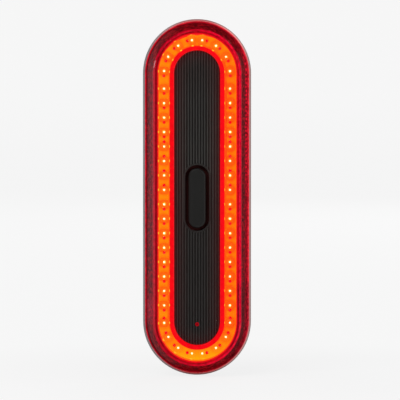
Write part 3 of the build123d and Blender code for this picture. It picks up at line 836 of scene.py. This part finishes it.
def lit_foot(tree, at, glow):
    """Red light in streaks on the foot at the right, and a dim foot at the bottom."""
    foot = radial(tree, at["share"], [(12.60, 0), (13.10, 0.75), (13.70, 1)])
    patch = mask(tree, at["streak"], [(0.38, 0.15), (0.60, 1)])
    glow = blend(tree, times(tree, foot, patch, at["on_right"]), glow, (0.24, 0.006, 0.014, 1), "ADD")
    at_bottom = mask(tree, at["height"], [(0.05, 0.5), (0.12, 0.72), (0.16, 1)])
    at_edge = radial(tree, at["share"], [(13.3, 0), (13.6, 1)])
    return blend(tree, at_edge, glow, tinted(tree, glow, at_bottom))


def uneven_light(tree, at, glow):
    """Slow waves of light over the lens, with streaks beyond the window."""
    glow = tinted(tree, glow, mask(tree, at["ripple"], [(0.25, 0.86), (0.75, 1.08)]))
    uneven = mask(tree, at["streak"], [(0.36, 0.62), (0.62, 1.26)])
    beyond = radial(tree, at["share"], [(10.7, 0), (10.9, 1)])
    return blend(tree, beyond, glow, tinted(tree, glow, uneven))


LENS_PARTS = (
    dark_line,
    channel_walls,
    shoulder_prisms,
    foot_dashes,
    left_slope,
    lower_right,
    lit_foot,
    uneven_light,
)


def lens_red():
    """Red lens body: lit walls and a dark shoulder with prisms under a clear skin."""
    material, tree, surface = finish("red lens")
    at = lens_places(tree)
    glow = lens_tones(tree, at)
    for part in LENS_PARTS:
        glow = part(tree, at, glow)
    skin = radial(tree, at["share"], [(11.90, 0.4), (12.0, 0)])
    dry = mask(tree, at["height"], [(0.08, 0.15), (0.20, 1), (0.87, 1), (0.93, 0.35)])
    fill(tree, surface, {
        "Base Color": blend(tree, at["cells"][1], tone(58, 4, 8), tone(96, 6, 12)),
        "Roughness": mask(tree, at["ripple"], [(0.2, 0.16), (0.8, 0.26)]),
        "Emission Color": glow,
        "Emission Strength": 0.95,
        "Normal": bump(tree, 0.35, 0.1, times(tree, at["facets"], at["on_slope"])),
        "Coat Weight": times(tree, skin, dry),
        "Coat Roughness": 0.05,
        "Coat IOR": 1.5,
        "Specular IOR Level": 0.012,
    })
    return material


def lens_window():
    """Clear front of the ring, over the lights."""
    material, tree, surface = finish("clear window")
    ripple = noise(tree, object_place(tree), 0.7)
    fill(tree, surface, {
        "Base Color": ramp(tree, ripple, [(0.3, (1.0, 0.90, 0.86, 1)), (0.7, (1.0, 0.96, 0.94, 1))]),
        "Roughness": 0.02,
        "IOR": 1.32,
        "Transmission Weight": 1.0,
        "Normal": bump(tree, 0.03, 0.1, ripple),
    })
    return material


# Lit board and packages


def cell_glow(tree, at, left):
    """The glow round the nearest light, warmer down the left by the given amount."""
    sockets = {"Height": at["height"], "Side": at["side"], "Left": left}
    warmth = use_group(tree, WARMTH, sockets)["Warmth"]
    return use_group(tree, CELL, {"Cell": path_place(tree), "Warmth": warmth})


def red_thread(tree, at, glow):
    """Adds the broken red line to the glow."""
    sockets = {"Share": at["share"], "Height": at["height"], "Side": at["side"]}
    return blend(tree, use_group(tree, THREAD, sockets)["Line"], glow, tone(248, 40, 22))


def inner_edge(tree, at, glow):
    """The board's redder edge beside the inner wall."""
    towards_right = mask(tree, at["side"], [(0.5, 0), (0.7, 0.022)])
    low = mask(tree, at["height"], [(0.14, 0), (0.17, 1), (0.27, 1), (0.31, 0)])
    low_left = times(tree, mask(tree, at["side"], [(0.3, 0.024), (0.4, 0)]), low)
    moved = sums(tree, "SUBTRACT", at["share"], sums(tree, "MAXIMUM", towards_right, low_left))
    glow = blend(tree, radial(tree, moved, [(7.35, 0.8), (7.85, 0)]), glow, tone(251, 76, 10))
    red_rim = radial(tree, at["share"], [(7.38, 1), (7.56, 0)])
    towards_left = mask(tree, at["side"], [(0.4, 0.8), (0.55, 0)])
    return blend(tree, times(tree, red_rim, towards_left), glow, tone(246, 36, 18))


def outer_edge(tree, at, glow):
    """The board's red edge beside the outer wall, wider at the left and towards the ends."""
    at_left = mask(tree, at["side"], [(0.10, 0.016), (0.30, 0)])
    at_ends = mask(tree, at["height"], [(0.10, 0.004), (0.14, 0), (0.88, 0), (0.92, 0.023)])
    inward = mask(tree, at["side"], [(0.54, 1), (0.66, 0.1)])
    wider = sums(tree, "MAXIMUM", at_left, times(tree, at_ends, inward))
    red = radial(tree, sums(tree, "ADD", at["share"], wider), [(10.46, 0), (10.56, 1)])
    return blend(tree, red, glow, tone(238, 22, 30))


def lit_board():
    """White board under the lights, bright with their glow."""
    material, tree, surface = finish("lit board")
    at = spine_places(tree)
    cell = cell_glow(tree, at, 0.26)
    glow = cell["Glow"]
    for part in (inner_edge, outer_edge, red_thread):
        glow = part(tree, at, glow)
    at_inner = radial(tree, at["share"], [(8.2, 1), (8.4, 0)])
    at_left = mask(tree, at["side"], [(0.45, 0.8), (0.65, 0)])
    lit_rim = times(tree, cell["Spark"], sums(tree, "MAXIMUM", at_inner, at_left))
    glow = blend(tree, lit_rim, glow, tone(255, 222, 50))
    inside = radial(tree, at["share"], [(7.1, 0), (7.2, 1), (10.7, 1), (10.8, 0)])
    fill(tree, surface, {
        # Painted light: under the lights the board's base colour is orange, as lit by their glow; beyond them
        # it is the board's white
        "Base Color": blend(tree, inside, tone(214, 208, 196), (0.35, 0.07, 0.008, 1)),
        "Roughness": 0.5,
        "Specular IOR Level": 0.05,
        "Emission Color": blend(tree, inside, BLACK, glow),
        "Emission Strength": 0.92,
    })
    return material


def lit_package():
    """Moulded package of a light, redder than the board round it."""
    material, tree, surface = finish("lit package")
    at = spine_places(tree)
    fill(tree, surface, {
        # Painted light: the package's base colour is red-orange, as lit by its light's glow
        "Base Color": (0.35, 0.05, 0.006, 1),
        "Roughness": 0.45,
        "Specular IOR Level": 0.05,
        "Emission Color": red_thread(tree, at, cell_glow(tree, at, 0.08)["Glow"]),
        "Emission Strength": 0.92,
    })
    return material


# Indicator


def indicator_red():
    """Dim red of the indicator, a little brighter in a ring near its edge."""
    material, tree, surface = finish("indicator window")
    across, _, up = split(tree, object_place(tree))
    away = distance(tree, across, sums(tree, "SUBTRACT", up, INDICATOR_HEIGHT))
    share = sums(tree, "DIVIDE", away, INDICATOR_RADIUS)
    glow = [(0.0, tone(104, 0, 4)), (0.4, tone(124, 0, 8)), (0.75, tone(180, 0, 18)), (1.0, tone(120, 0, 8))]
    fill(tree, surface, {
        "Base Color": ramp(tree, share, [(0.0, tone(40, 1, 3)), (1.0, tone(30, 1, 2))]),
        "Roughness": 0.45,
        "Emission Color": ramp(tree, share, glow),
        "Emission Strength": 0.95,
        "Specular IOR Level": 0.04,
    })
    return material


# Lights


def light_places():
    """Each light: its place, its turn, the side its mark is on, and its length along the outline."""
    made = []
    run = 2 * END
    arc = pi * LED_RADIUS
    for side in (1, -1):
        for row in range(LED_ROWS):
            height = (row - (LED_ROWS - 1) / 2) * LED_PITCH + LED_LIFT
            mark = 1 if LED_ROWS - 1 - row in TURNED_MARKS else -1
            length = height + END if side > 0 else run + arc + END - height
            made.append((side * LED_RADIUS, height, 0.0, mark, length))
        for end in (1, -1):
            for angle in TIP_ANGLES:
                across = side * LED_RADIUS * sin(radians(angle))
                height = end * (END + LED_RADIUS * cos(radians(angle))) + LED_LIFT
                turn = radians(side * end * (angle - 90))
                sweep = radians(90 - side * angle) * LED_RADIUS
                length = run + sweep if end > 0 else 2 * run + arc + arc - sweep
                made.append((across, height, turn, -end, length))
    return made


LIGHTS = light_places()


def tell_from_lights(board, lengths, total):
    """Sets the board front's path map to each point's place along and across from its nearest light."""
    layer = board.data.uv_layers["path"]
    for face in board.data.polygons:
        if face.normal.y > -0.5 or len(face.vertices) > 4:
            continue
        own = [layer.data[i].uv.x for i in face.loop_indices]
        centre = (min(own) + max(own)) / 2
        nearest = min(lengths, key=lambda s: abs((s - centre + total / 2) % total - total / 2))
        shift = round((centre - nearest) / total) * total
        for i in face.loop_indices:
            vertex = board.data.vertices[board.data.loops[i].vertex_index].co / MM
            radius = sqrt(vertex.x ** 2 + max(abs(vertex.z) - END, 0.0) ** 2)
            layer.data[i].uv = (layer.data[i].uv.x - nearest - shift, radius - LED_RADIUS)


def board_piece():
    """The board. Its front is divided half way between neighbouring lights."""
    lengths = sorted(light[-1] for light in LIGHTS)
    total = 2 * (2 * END + pi * LED_RADIUS)
    halves = [((a + b) / 2) % total for a, b in zip(lengths, lengths[1:] + [lengths[0] + total])]
    section = [
        (WINDOW_INNER, BOARD_FRONT),
        (WINDOW_OUTER, BOARD_FRONT),
        (BOARD_RADIUS, BOARD_FRONT),
        (BOARD_RADIUS, FRAME_FRONT),
    ]
    board = swept("lights_board", section, END, [lit_board()], closed=False, marks=halves)
    tell_from_lights(board, lengths, total)
    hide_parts("led_board")


def light_unit():
    """One light's package with its round cup: points across, along and up."""
    wide = LED_WIDTH / 2
    long = LED_LENGTH / 2
    sides = 24
    cup = 0.92
    floor = 0.62
    depth = 0.4
    edge = 0.12
    square = []
    for x, z in circle(1.0, sides):
        reach = min(wide / max(abs(x), 1e-6), long / max(abs(z), 1e-6))
        square.append((x * reach, z * reach))
    inner = [(x * (1 - edge / wide), z * (1 - edge / long)) for x, z in square]
    return stacked([
        (square, 0.0),
        (square, LED_HEIGHT - edge),
        (inner, LED_HEIGHT),
        (circle(cup, sides), LED_HEIGHT),
        (circle(floor, sides), LED_HEIGHT - depth),
    ])


def die_unit():
    """One light's die: a low block with its corners cut, narrower at its top."""
    half = 0.245
    cut = 0.09
    taper = 0.9
    foot = LED_HEIGHT - 0.42
    top = LED_HEIGHT - 0.16
    short = half - cut
    corners = []
    for x, z in ((1, 1), (-1, 1), (-1, -1), (1, -1)):
        ends = [(x * half, z * short), (x * short, z * half)]
        corners += ends if x == z else reversed(ends)
    return stacked([(corners, foot), ([(x * taper, z * taper) for x, z in corners], top)])


def mark_unit():
    """The small round mark beside a light, with a chamfered top."""
    radius = 0.42
    beside = 1.28
    sides = 16
    shoulder = LED_HEIGHT + 0.04
    top = LED_HEIGHT + 0.09
    rim = circle(radius, sides, beside)
    return stacked([(rim, 0.0), (rim, shoulder), (circle(radius * 0.75, sides, beside), top)])


def at_each_light(name, unit, material, flip=False):
    """One unit repeated at every light, as one piece. Its path map holds places from the light."""
    unit_verts, unit_faces = unit
    verts = []
    faces = []
    uvs = []
    for x, z, turn, mark, _ in LIGHTS:
        start = len(verts)
        for across, along, up in unit_verts:
            along_here = along * mark if flip else along
            here_x = x + across * cos(turn) + along_here * sin(turn)
            here_z = z - across * sin(turn) + along_here * cos(turn)
            verts.append((here_x, -(BOARD_FRONT + up), here_z))
        for face in unit_faces:
            faces.append(tuple(start + v for v in face))
            uvs.append([(unit_verts[v][1], unit_verts[v][0]) for v in face])
    piece = mesh_piece(name, verts, faces, [material], uvs=uvs)
    return piece


def die_white():
    """White-hot die."""
    middle = (1.0, 0.98, 0.84, 1)
    edge = (1.0, 0.92, 0.62, 1)
    return glowing("white-hot die", middle, edge, scale=2.0, strength=1.25, base=(0.9, 0.7, 0.4, 1))


def mark_red():
    """Painted saturated red glow of the marks, which are no lamps."""
    middle = tone(252, 2, 16)
    edge = tone(240, 0, 12)
    return glowing("red mark", middle, edge, scale=2.5, strength=1.0, base=(0.2, 0.002, 0.004, 1))


def lights():
    """The packages, dies and marks, on their board."""
    board_piece()
    packages = at_each_light("light_packages", light_unit(), lit_package())
    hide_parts("led_packages")
    at_each_light("light_dies", die_unit(), die_white())
    at_each_light("light_marks", mark_unit(), mark_red(), flip=True)


# Lens


def in_window(radius, depth):
    """Which material a stretch of the lens's section takes: 1 in the clear window, 0 elsewhere."""
    slack = 0.01
    between = WINDOW_INNER + slack < radius < WINDOW_OUTER - slack
    return 1 if between and depth > WINDOW_BACK - slack else 0


def lens_piece():
    """The lens: a U channel over the lights and a sloped shoulder down to its foot."""
    corners = [
        (LENS_INNER, WALL_END, 0),
        (LENS_INNER, LENS_FRONT, 0.16),
        (WINDOW_INNER, LENS_FRONT, 0),
        (WINDOW_OUTER, LENS_FRONT, 0),
        (RING_OUTER - RING_BEVEL, LENS_FRONT, 0.18),
        (RING_OUTER, LENS_FRONT - RING_BEVEL, 0.12),
        (RING_OUTER, RING_FOOT, 0.2),
        (FLANGE - FOOT_WIDTH, FOOT_FRONT, 0.16),
        (FLANGE, FOOT_FRONT, 0.08),
        (FLANGE, FRAME_FRONT, 0),
        (FOOT_INNER, FRAME_FRONT, 0),
        (FOOT_INNER, WALL_END, 0),
        (WINDOW_OUTER, WALL_END, 0),
        (WINDOW_OUTER, WINDOW_BACK, 0),
        (WINDOW_INNER, WINDOW_BACK, 0),
        (WINDOW_INNER, WALL_END, 0),
    ]
    section = rounded([corner[:2] for corner in corners], [corner[2] for corner in corners])
    materials = [lens_red(), lens_window()]
    lens = swept("red_lens", section, END, materials, turns=64, pick=in_window, smooth=50)
    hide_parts("front_lens")


# Panel and button


def rib_depth(x):
    """How far forward the panel's face stands at a distance from its middle."""
    place_in = (x - RIB_ASIDE) / RIB_PITCH + (RIBS - 1) / 2
    nearest = min(max(round(place_in), 0), RIBS - 1)
    away = abs(place_in - nearest) * RIB_PITCH
    flat = RIB_CREST / 2
    foot = RIB_BASE / 2
    if away >= foot:
        return VALLEY
    if away <= flat:
        return CREST - RIB_ROUND * (away / flat) ** 2
    return VALLEY + (RIB_HEIGHT - RIB_ROUND) * (foot - away) / (foot - flat)


def rib_columns():
    """The distances across at which the ribbed face changes slope, closer together at its sides."""
    well_steps = 20
    side_margin = 0.05
    side_shares = (1.0, 0.998, 0.993, 0.98, 0.96)
    columns = {WELL_LIP, -WELL_LIP}
    for i in range(RIBS):
        middle = (i - (RIBS - 1) / 2) * RIB_PITCH + RIB_ASIDE
        for away in (0.0, RIB_CREST / 4, RIB_CREST / 2, RIB_BASE / 2):
            columns.update((middle - away, middle + away))
    for step in range(1, well_steps):
        columns.add(WELL_LIP * cos(pi * step / well_steps))
    columns = {x for x in columns if abs(x) < PANEL - side_margin}
    for share in side_shares:
        columns.update((PANEL * share, -PANEL * share))
    return sorted({round(x, 4) for x in columns})


def rib_plate(panel_plastic):
    """The ribbed plate, made in an upper and a lower half, with the button's well left open."""
    end_band = 0.3
    slack = 0.001
    columns = rib_columns()
    verts = []
    faces = []
    for end in (1, -1):
        rows = []
        for x in columns:
            top = END + sqrt(max(PANEL * PANEL - x * x, 0.0))
            by_well = abs(x) < WELL_LIP - slack
            low = BUTTON_HALF + sqrt(WELL_LIP ** 2 - x * x) if by_well else 0.0
            # Six points to a column: three outward along its front, then three along its back
            rows.append(len(verts))
            for depth in (rib_depth(x), PANEL_BACK):
                verts += [(x, -depth, end * up) for up in (low, min(END, top - end_band), top)]
        for a, b, x in zip(rows, rows[1:], columns):
            for k in (0, 1, 3, 4):
                faces.append((a + k, b + k, b + k + 1, a + k + 1))
            faces.append((a + 2, b + 2, b + 5, a + 5))
            if -WELL_LIP - slack < x < WELL_LIP - slack:
                faces.append((a, b, b + 3, a + 3))
        for edge in (rows[0], rows[-1]):
            faces.append((edge, edge + 1, edge + 4, edge + 3))
            faces.append((edge + 1, edge + 2, edge + 5, edge + 4))
    plate = mesh_piece("panel_ribs", verts, faces, [panel_plastic], smooth=24)
    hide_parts("center_panel")


def skirt_piece(panel_plastic):
    """The panel's skirt, down to the board."""
    top = PANEL_BACK + 0.01
    section = [(PANEL - SKIRT, BOARD_FRONT), (PANEL, BOARD_FRONT), (PANEL, top), (PANEL - SKIRT, top)]
    skirt = swept("panel_skirt", section, END, [panel_plastic], turns=48)


def lip_piece(panel_plastic):
    """The lip round the button's well."""
    points = [(WELL, PANEL_BACK), (WELL, CREST), (WELL_LIP, CREST), (WELL_LIP, PANEL_BACK)]
    lip = swept("well_lip", rounded(points, [0, 0.1, 0.08, 0], 3), BUTTON_HALF, [panel_plastic], turns=28)


def button_piece():
    """The button: a long cap with a soft edge and a faint dish."""
    black = plastic("button plastic", (0.0064, 0.0060, 0.0052), 0.2, 0.48, 0.15, 0.1, shine=0.25)
    points = [
        (BUTTON, BUTTON_BACK),
        (BUTTON, BUTTON_FRONT - BUTTON_FALL),
        (BUTTON - BUTTON_EDGE, BUTTON_FRONT),
        (BUTTON - BUTTON_BRIM, BUTTON_FRONT - BUTTON_DISH),
    ]
    section = rounded(points, [0, 0.42, 0.5, 0], 6, closed=False)
    cap = swept("button", section, BUTTON_HALF, [black], closed=False, turns=28, body="button", smooth=40)


def indicator_piece():
    """The small red window low on the panel."""
    sides = 28
    levels = []
    for share, depth in ((1.0, PANEL_BACK), (1.0, CREST - 0.02), (0.86, CREST + 0.03), (0.5, CREST + 0.05)):
        levels.append((circle(INDICATOR_RADIUS * share, sides, INDICATOR_HEIGHT), depth))
    verts, faces = stacked(levels)
    pipe = mesh_piece("indicator_window", [(x, -depth, z) for x, z, depth in verts], faces, [indicator_red()])


def front():
    """Everything that the front shows inside the housing's lip."""
    lights()
    lens_piece()
    panel_plastic = ribbed_panel()
    rib_plate(panel_plastic)
    skirt_piece(panel_plastic)
    lip_piece(panel_plastic)
    button_piece()
    indicator_piece()


front()
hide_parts("button_cap")
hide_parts("light_pipe")


# Pieces kept from the frame


def clad(names, material):
    """Gives frame pieces a finish."""
    for name in names:
        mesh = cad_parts[name].data
        mesh.materials.clear()
        mesh.materials.append(material)


def soften(name, width, steps):
    """Takes the sharpness off a frame piece's edges: whole flats first, then narrow rounds between them."""
    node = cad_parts[name]
    joined = node.modifiers.new("joined corners", "WELD")
    joined.merge_threshold = 0.000001
    flats = node.modifiers.new("whole flats", "DECIMATE")
    flats.decimate_type = "DISSOLVE"
    flats.angle_limit = radians(0.5)
    rounds = node.modifiers.new("soft edges", "BEVEL")
    rounds.width = width * MM
    rounds.segments = steps
    rounds.limit_method = "ANGLE"
    rounds.angle_limit = radians(28)
    even = node.modifiers.new("even shading", "WEIGHTED_NORMAL")
    even.keep_sharp = True


# Moulded pieces of the frame by finish: the nodes, the colour, the grain's size in millimetres, the
# roughness, the change of tone and the relief, and where they differ the clear coat and the shine
PORT_PARTS = ["usb_tongue", "charging_parts"]
CHIPS = ["switch_body", "switch_plunger", "mcu_chip", "led_drivers", "led_resistors", "indicator_led"]
MOULDED = {
    "black rubber": (["case_gasket", "button_boot"], (0.040, 0.007, 0.006), 0.12, 0.7, 0.2, 0.25, 0.0, 0.1),
    "frame plastic": (["mid_frame"], (0.08, 0.08, 0.085), 0.25, 0.5, 0.2, 0.1),
    "flap rubber": (["usb_flap"], (0.034, 0.034, 0.036), 0.14, 0.62, 0.3, 0.5),
    "clip plastic": (["rear_clip"], (0.040, 0.040, 0.042), 0.22, 0.36, 0.35, 0.55),
    "green board": (["protection_board", "power_board"], (0.02, 0.16, 0.07), 0.6, 0.35, 0.25, 0.05, 0.4),
    "chip black": (CHIPS + PORT_PARTS, (0.02, 0.02, 0.022), 0.15, 0.6, 0.2, 0.1),
    "foam": (["battery_pads"], (0.12, 0.12, 0.12), 0.35, 0.9, 0.4, 0.5),
    "red lead": (["battery_lead_red"], (0.55, 0.02, 0.02), 0.3, 0.35, 0.15, 0.05),
    "black lead": (["battery_lead_black"], (0.02, 0.02, 0.02), 0.3, 0.35, 0.15, 0.05),
    "cream link": (["board_link"], (0.72, 0.68, 0.58), 0.3, 0.5, 0.1, 0.05),
}

# Metal pieces: the nodes, the colour, the roughness and how far the lines are stretched each way
SCREWS = ["case_screws", "clip_screws", "board_screws", "power_board_screws"]
METALS = {
    "plated steel": (SCREWS, (0.45, 0.45, 0.46), 0.32, (1.0, 12.0, 1.0)),
    "cell foil": (["battery_cell"], (0.62, 0.63, 0.65), 0.38, (1.0, 1.0, 3.0)),
    "port steel": (["usb_shell"], (0.6, 0.6, 0.6), 0.28, (1.0, 12.0, 1.0)),
}

# Softened nodes: the width of their rounds in millimetres, and the steps in one
SOFTENED = {
    "rear_shell": (0.12, 2),
    "rear_clip": (0.3, 3),
    "usb_flap": (0.14, 2),
    "case_screws": (0.1, 2),
    "clip_screws": (0.1, 2),
}


def dress_frame():
    """Finishes and soft edges for the frame pieces that stay."""
    clad(["rear_shell"], housing_finish())
    for name, (nodes, *values) in MOULDED.items():
        clad(nodes, plastic(name, *values))
    for name, (nodes, *values) in METALS.items():
        clad(nodes, metal(name, *values))
    for name, values in SOFTENED.items():
        soften(name, *values)


dress_frame()


# Room, lamps and camera, in metres


def shown_as(tree, seen, first, second, output):
    """Mixes two shaders by how a ray sees them, into the tree's output."""
    mixed = place(tree, "ShaderNodeMixShader", {0: seen, 1: first.outputs[0], 2: second.outputs[0]})
    tree.links.new(mixed.outputs[0], tree.nodes[output].inputs["Surface"])


def paper(name, level):
    """Plain paper that shows at one tone to the camera and in reflections."""
    material, tree, surface = finish(name)
    point = object_place(tree, 1.0)
    grain = noise(tree, object_place(tree), 0.05, 3.0)
    tint = mask(tree, grain, [(0.3, level * 0.998), (0.7, level)])
    up = sums(tree, "ADD", split(tree, point)[2], 0.5)
    tint = tinted(tree, tint, mask(tree, up, [(0.44, 0.984), (0.50, 1)]))
    fill(tree, surface, {"Base Color": tint, "Roughness": 0.9, "Specular IOR Level": 0.0})
    shine = place(tree, "ShaderNodeEmission", {"Color": tint, "Strength": 1.0})
    flat = place(tree, "ShaderNodeVectorMath", {0: point, 1: (1, 1, 0)}, operation="MULTIPLY").outputs[0]
    away = place(tree, "ShaderNodeVectorMath", {0: flat}, operation="LENGTH").outputs["Value"]
    rays = tree.nodes.new("ShaderNodeLightPath").outputs
    mirrored = times(tree, rays["Is Glossy Ray"], mask(tree, away, [(0.02, 0), (0.07, 1)]))
    through = sums(tree, "MAXIMUM", mirrored, rays["Is Transmission Ray"])
    seen = sums(tree, "MAXIMUM", rays["Is Camera Ray"], through)
    shadow = mask(tree, away, [(0.012, 0.88), (0.10, 0.95)])
    shown_as(tree, times(tree, seen, shadow), surface, shine, "Material Output")
    return material


def risen(value, start, end):
    """How far a value has come from a start to an end, from 0 to 1."""
    return min(max((value - start) / (end - start), 0.0), 1.0)


# How far out the floor stays level in front, and the turns at which it rises behind and falls in front
FLOOR_EDGE = 0.04
RISE_TURN = 0.14
FALL_TURN = 0.5


def floor_line(low):
    """The floor's profile outward from the light, level and then curving up: (distance, height)."""
    flat = 1.5
    curve = 0.5
    wall = 0.7
    steps = 10
    line = [(0.0, low), (FLOOR_EDGE, low), (flat, low)]
    for step in range(1, steps + 1):
        angle = radians(90 * step / steps)
        line.append((flat + curve * sin(angle), low + curve * (1 - cos(angle))))
    return [*line, (flat + curve, low + wall)]


def paper_room():
    """A round floor of paper, which curves up into a wall behind the light and falls away before it."""
    gap = 0.0004
    low = cad_box[0].z - gap
    fall = 0.16
    turns = 72
    line = floor_line(low)
    count = len(line)
    verts = []
    faces = []
    for i in range(turns):
        angle = 2 * pi * i / turns
        behind = risen(cos(angle + RISE_TURN), -0.05, 0.2)
        before = risen(-cos(angle + FALL_TURN), 0.2, 0.7)
        for away, up in line:
            drop = fall * before * max(away - FLOOR_EDGE, 0.0)
            verts.append((away * sin(angle), away * cos(angle), low + (up - low) * behind - drop))
        start = i * count
        after = (i + 1) % turns * count
        for k in range(count - 1):
            faces.append((start + k, after + k, after + k + 1, start + k + 1))
    mesh = bpy.data.meshes.new("paper_room")
    mesh.from_pydata(verts, [], faces)
    mesh.shade_smooth()
    mesh.materials.append(paper("plain paper", 0.966))
    floor = bpy.data.objects.new("paper_room", mesh)
    bpy.context.scene.collection.objects.link(floor)


def pale_world():
    """A dim world that shows pale to the camera, and low behind the light in reflections."""
    world = bpy.context.scene.world or bpy.data.worlds.new("room")
    bpy.context.scene.world = world
    world.use_nodes = True
    tree = world.node_tree
    dim = tree.nodes["Background"]
    fill(tree, dim, {"Color": WHITE, "Strength": 0.07})
    pale = place(tree, "ShaderNodeBackground", {"Color": WHITE, "Strength": 0.93})
    direction = split(tree, tree.nodes.new("ShaderNodeTexCoord").outputs["Generated"])
    behind = mask(tree, direction[1], [(0.1, 0), (0.35, 1)])
    below = mask(tree, direction[2], [(0.25, 1), (0.33, 0)])
    rays = tree.nodes.new("ShaderNodeLightPath").outputs
    bounced = sums(tree, "MAXIMUM", rays["Is Glossy Ray"], rays["Is Transmission Ray"])
    seen = sums(tree, "MAXIMUM", rays["Is Camera Ray"], times(tree, bounced, behind, below))
    shown_as(tree, seen, dim, pale, "World Output")


# Each lamp: its place, the point it faces, its width and height, and its power in watts
LAMPS = {
    "key": ((-0.25, -0.5, 0.45), (0, 0, 0.01), 0.45, 0.35, 2.3),
    "fill": ((0.5, -0.7, 0.1), (0, 0, 0), 0.5, 0.5, 2.0),
    "left_strip": ((-0.47, 0.37, 0.0), (0, 0, 0), 0.4, 0.3, 0.3),
    "left_spot": ((-0.6, 0.0, 0.16), (0, 0, 0.03), 0.06, 0.10, 0.15),
    "back": ((0.3, 0.9, 0.35), (0, 0, 0), 0.5, 0.4, 3.0),
}


def softbox(name, where, towards, wide, tall, power):
    """A rectangular lamp that faces a point."""
    lamp = bpy.data.lights.new(name, "AREA")
    lamp.shape = "RECTANGLE"
    lamp.size = wide
    lamp.size_y = tall
    lamp.energy = power
    holder = bpy.data.objects.new(name, lamp)
    holder.location = where
    holder.rotation_mode = "QUATERNION"
    holder.rotation_quaternion = (Vector(towards) - Vector(where)).to_track_quat("-Z", "Y")
    holder.visible_camera = False
    bpy.context.scene.collection.objects.link(holder)


def camera_view():
    """A long lens from one metre away, a little above and to the left, aimed slightly off the middle."""
    above = radians(2.5)
    aside = radians(0.4)
    drop = 0.00124
    right = 0.00088
    camera = bpy.data.cameras.new("camera")
    camera.sensor_width = 36
    camera.lens = 330.0
    camera.clip_start = 0.05
    camera.clip_end = 20
    holder = bpy.data.objects.new("camera", camera)
    back = cos(above) + drop * sin(above)
    holder.location = (
        right * cos(aside) - back * sin(aside),
        -right * sin(aside) - back * cos(aside),
        sin(above) - drop * cos(above),
    )
    holder.rotation_euler = (pi / 2 - above, 0, -aside)
    bpy.context.scene.collection.objects.link(holder)
    bpy.context.scene.camera = holder


paper_room()
pale_world()
for lamp_name, lamp_values in LAMPS.items():
    softbox(lamp_name, *lamp_values)
camera_view()
bpy.context.scene.view_settings.view_transform = "Standard"

bpy.context.view_layer.update()
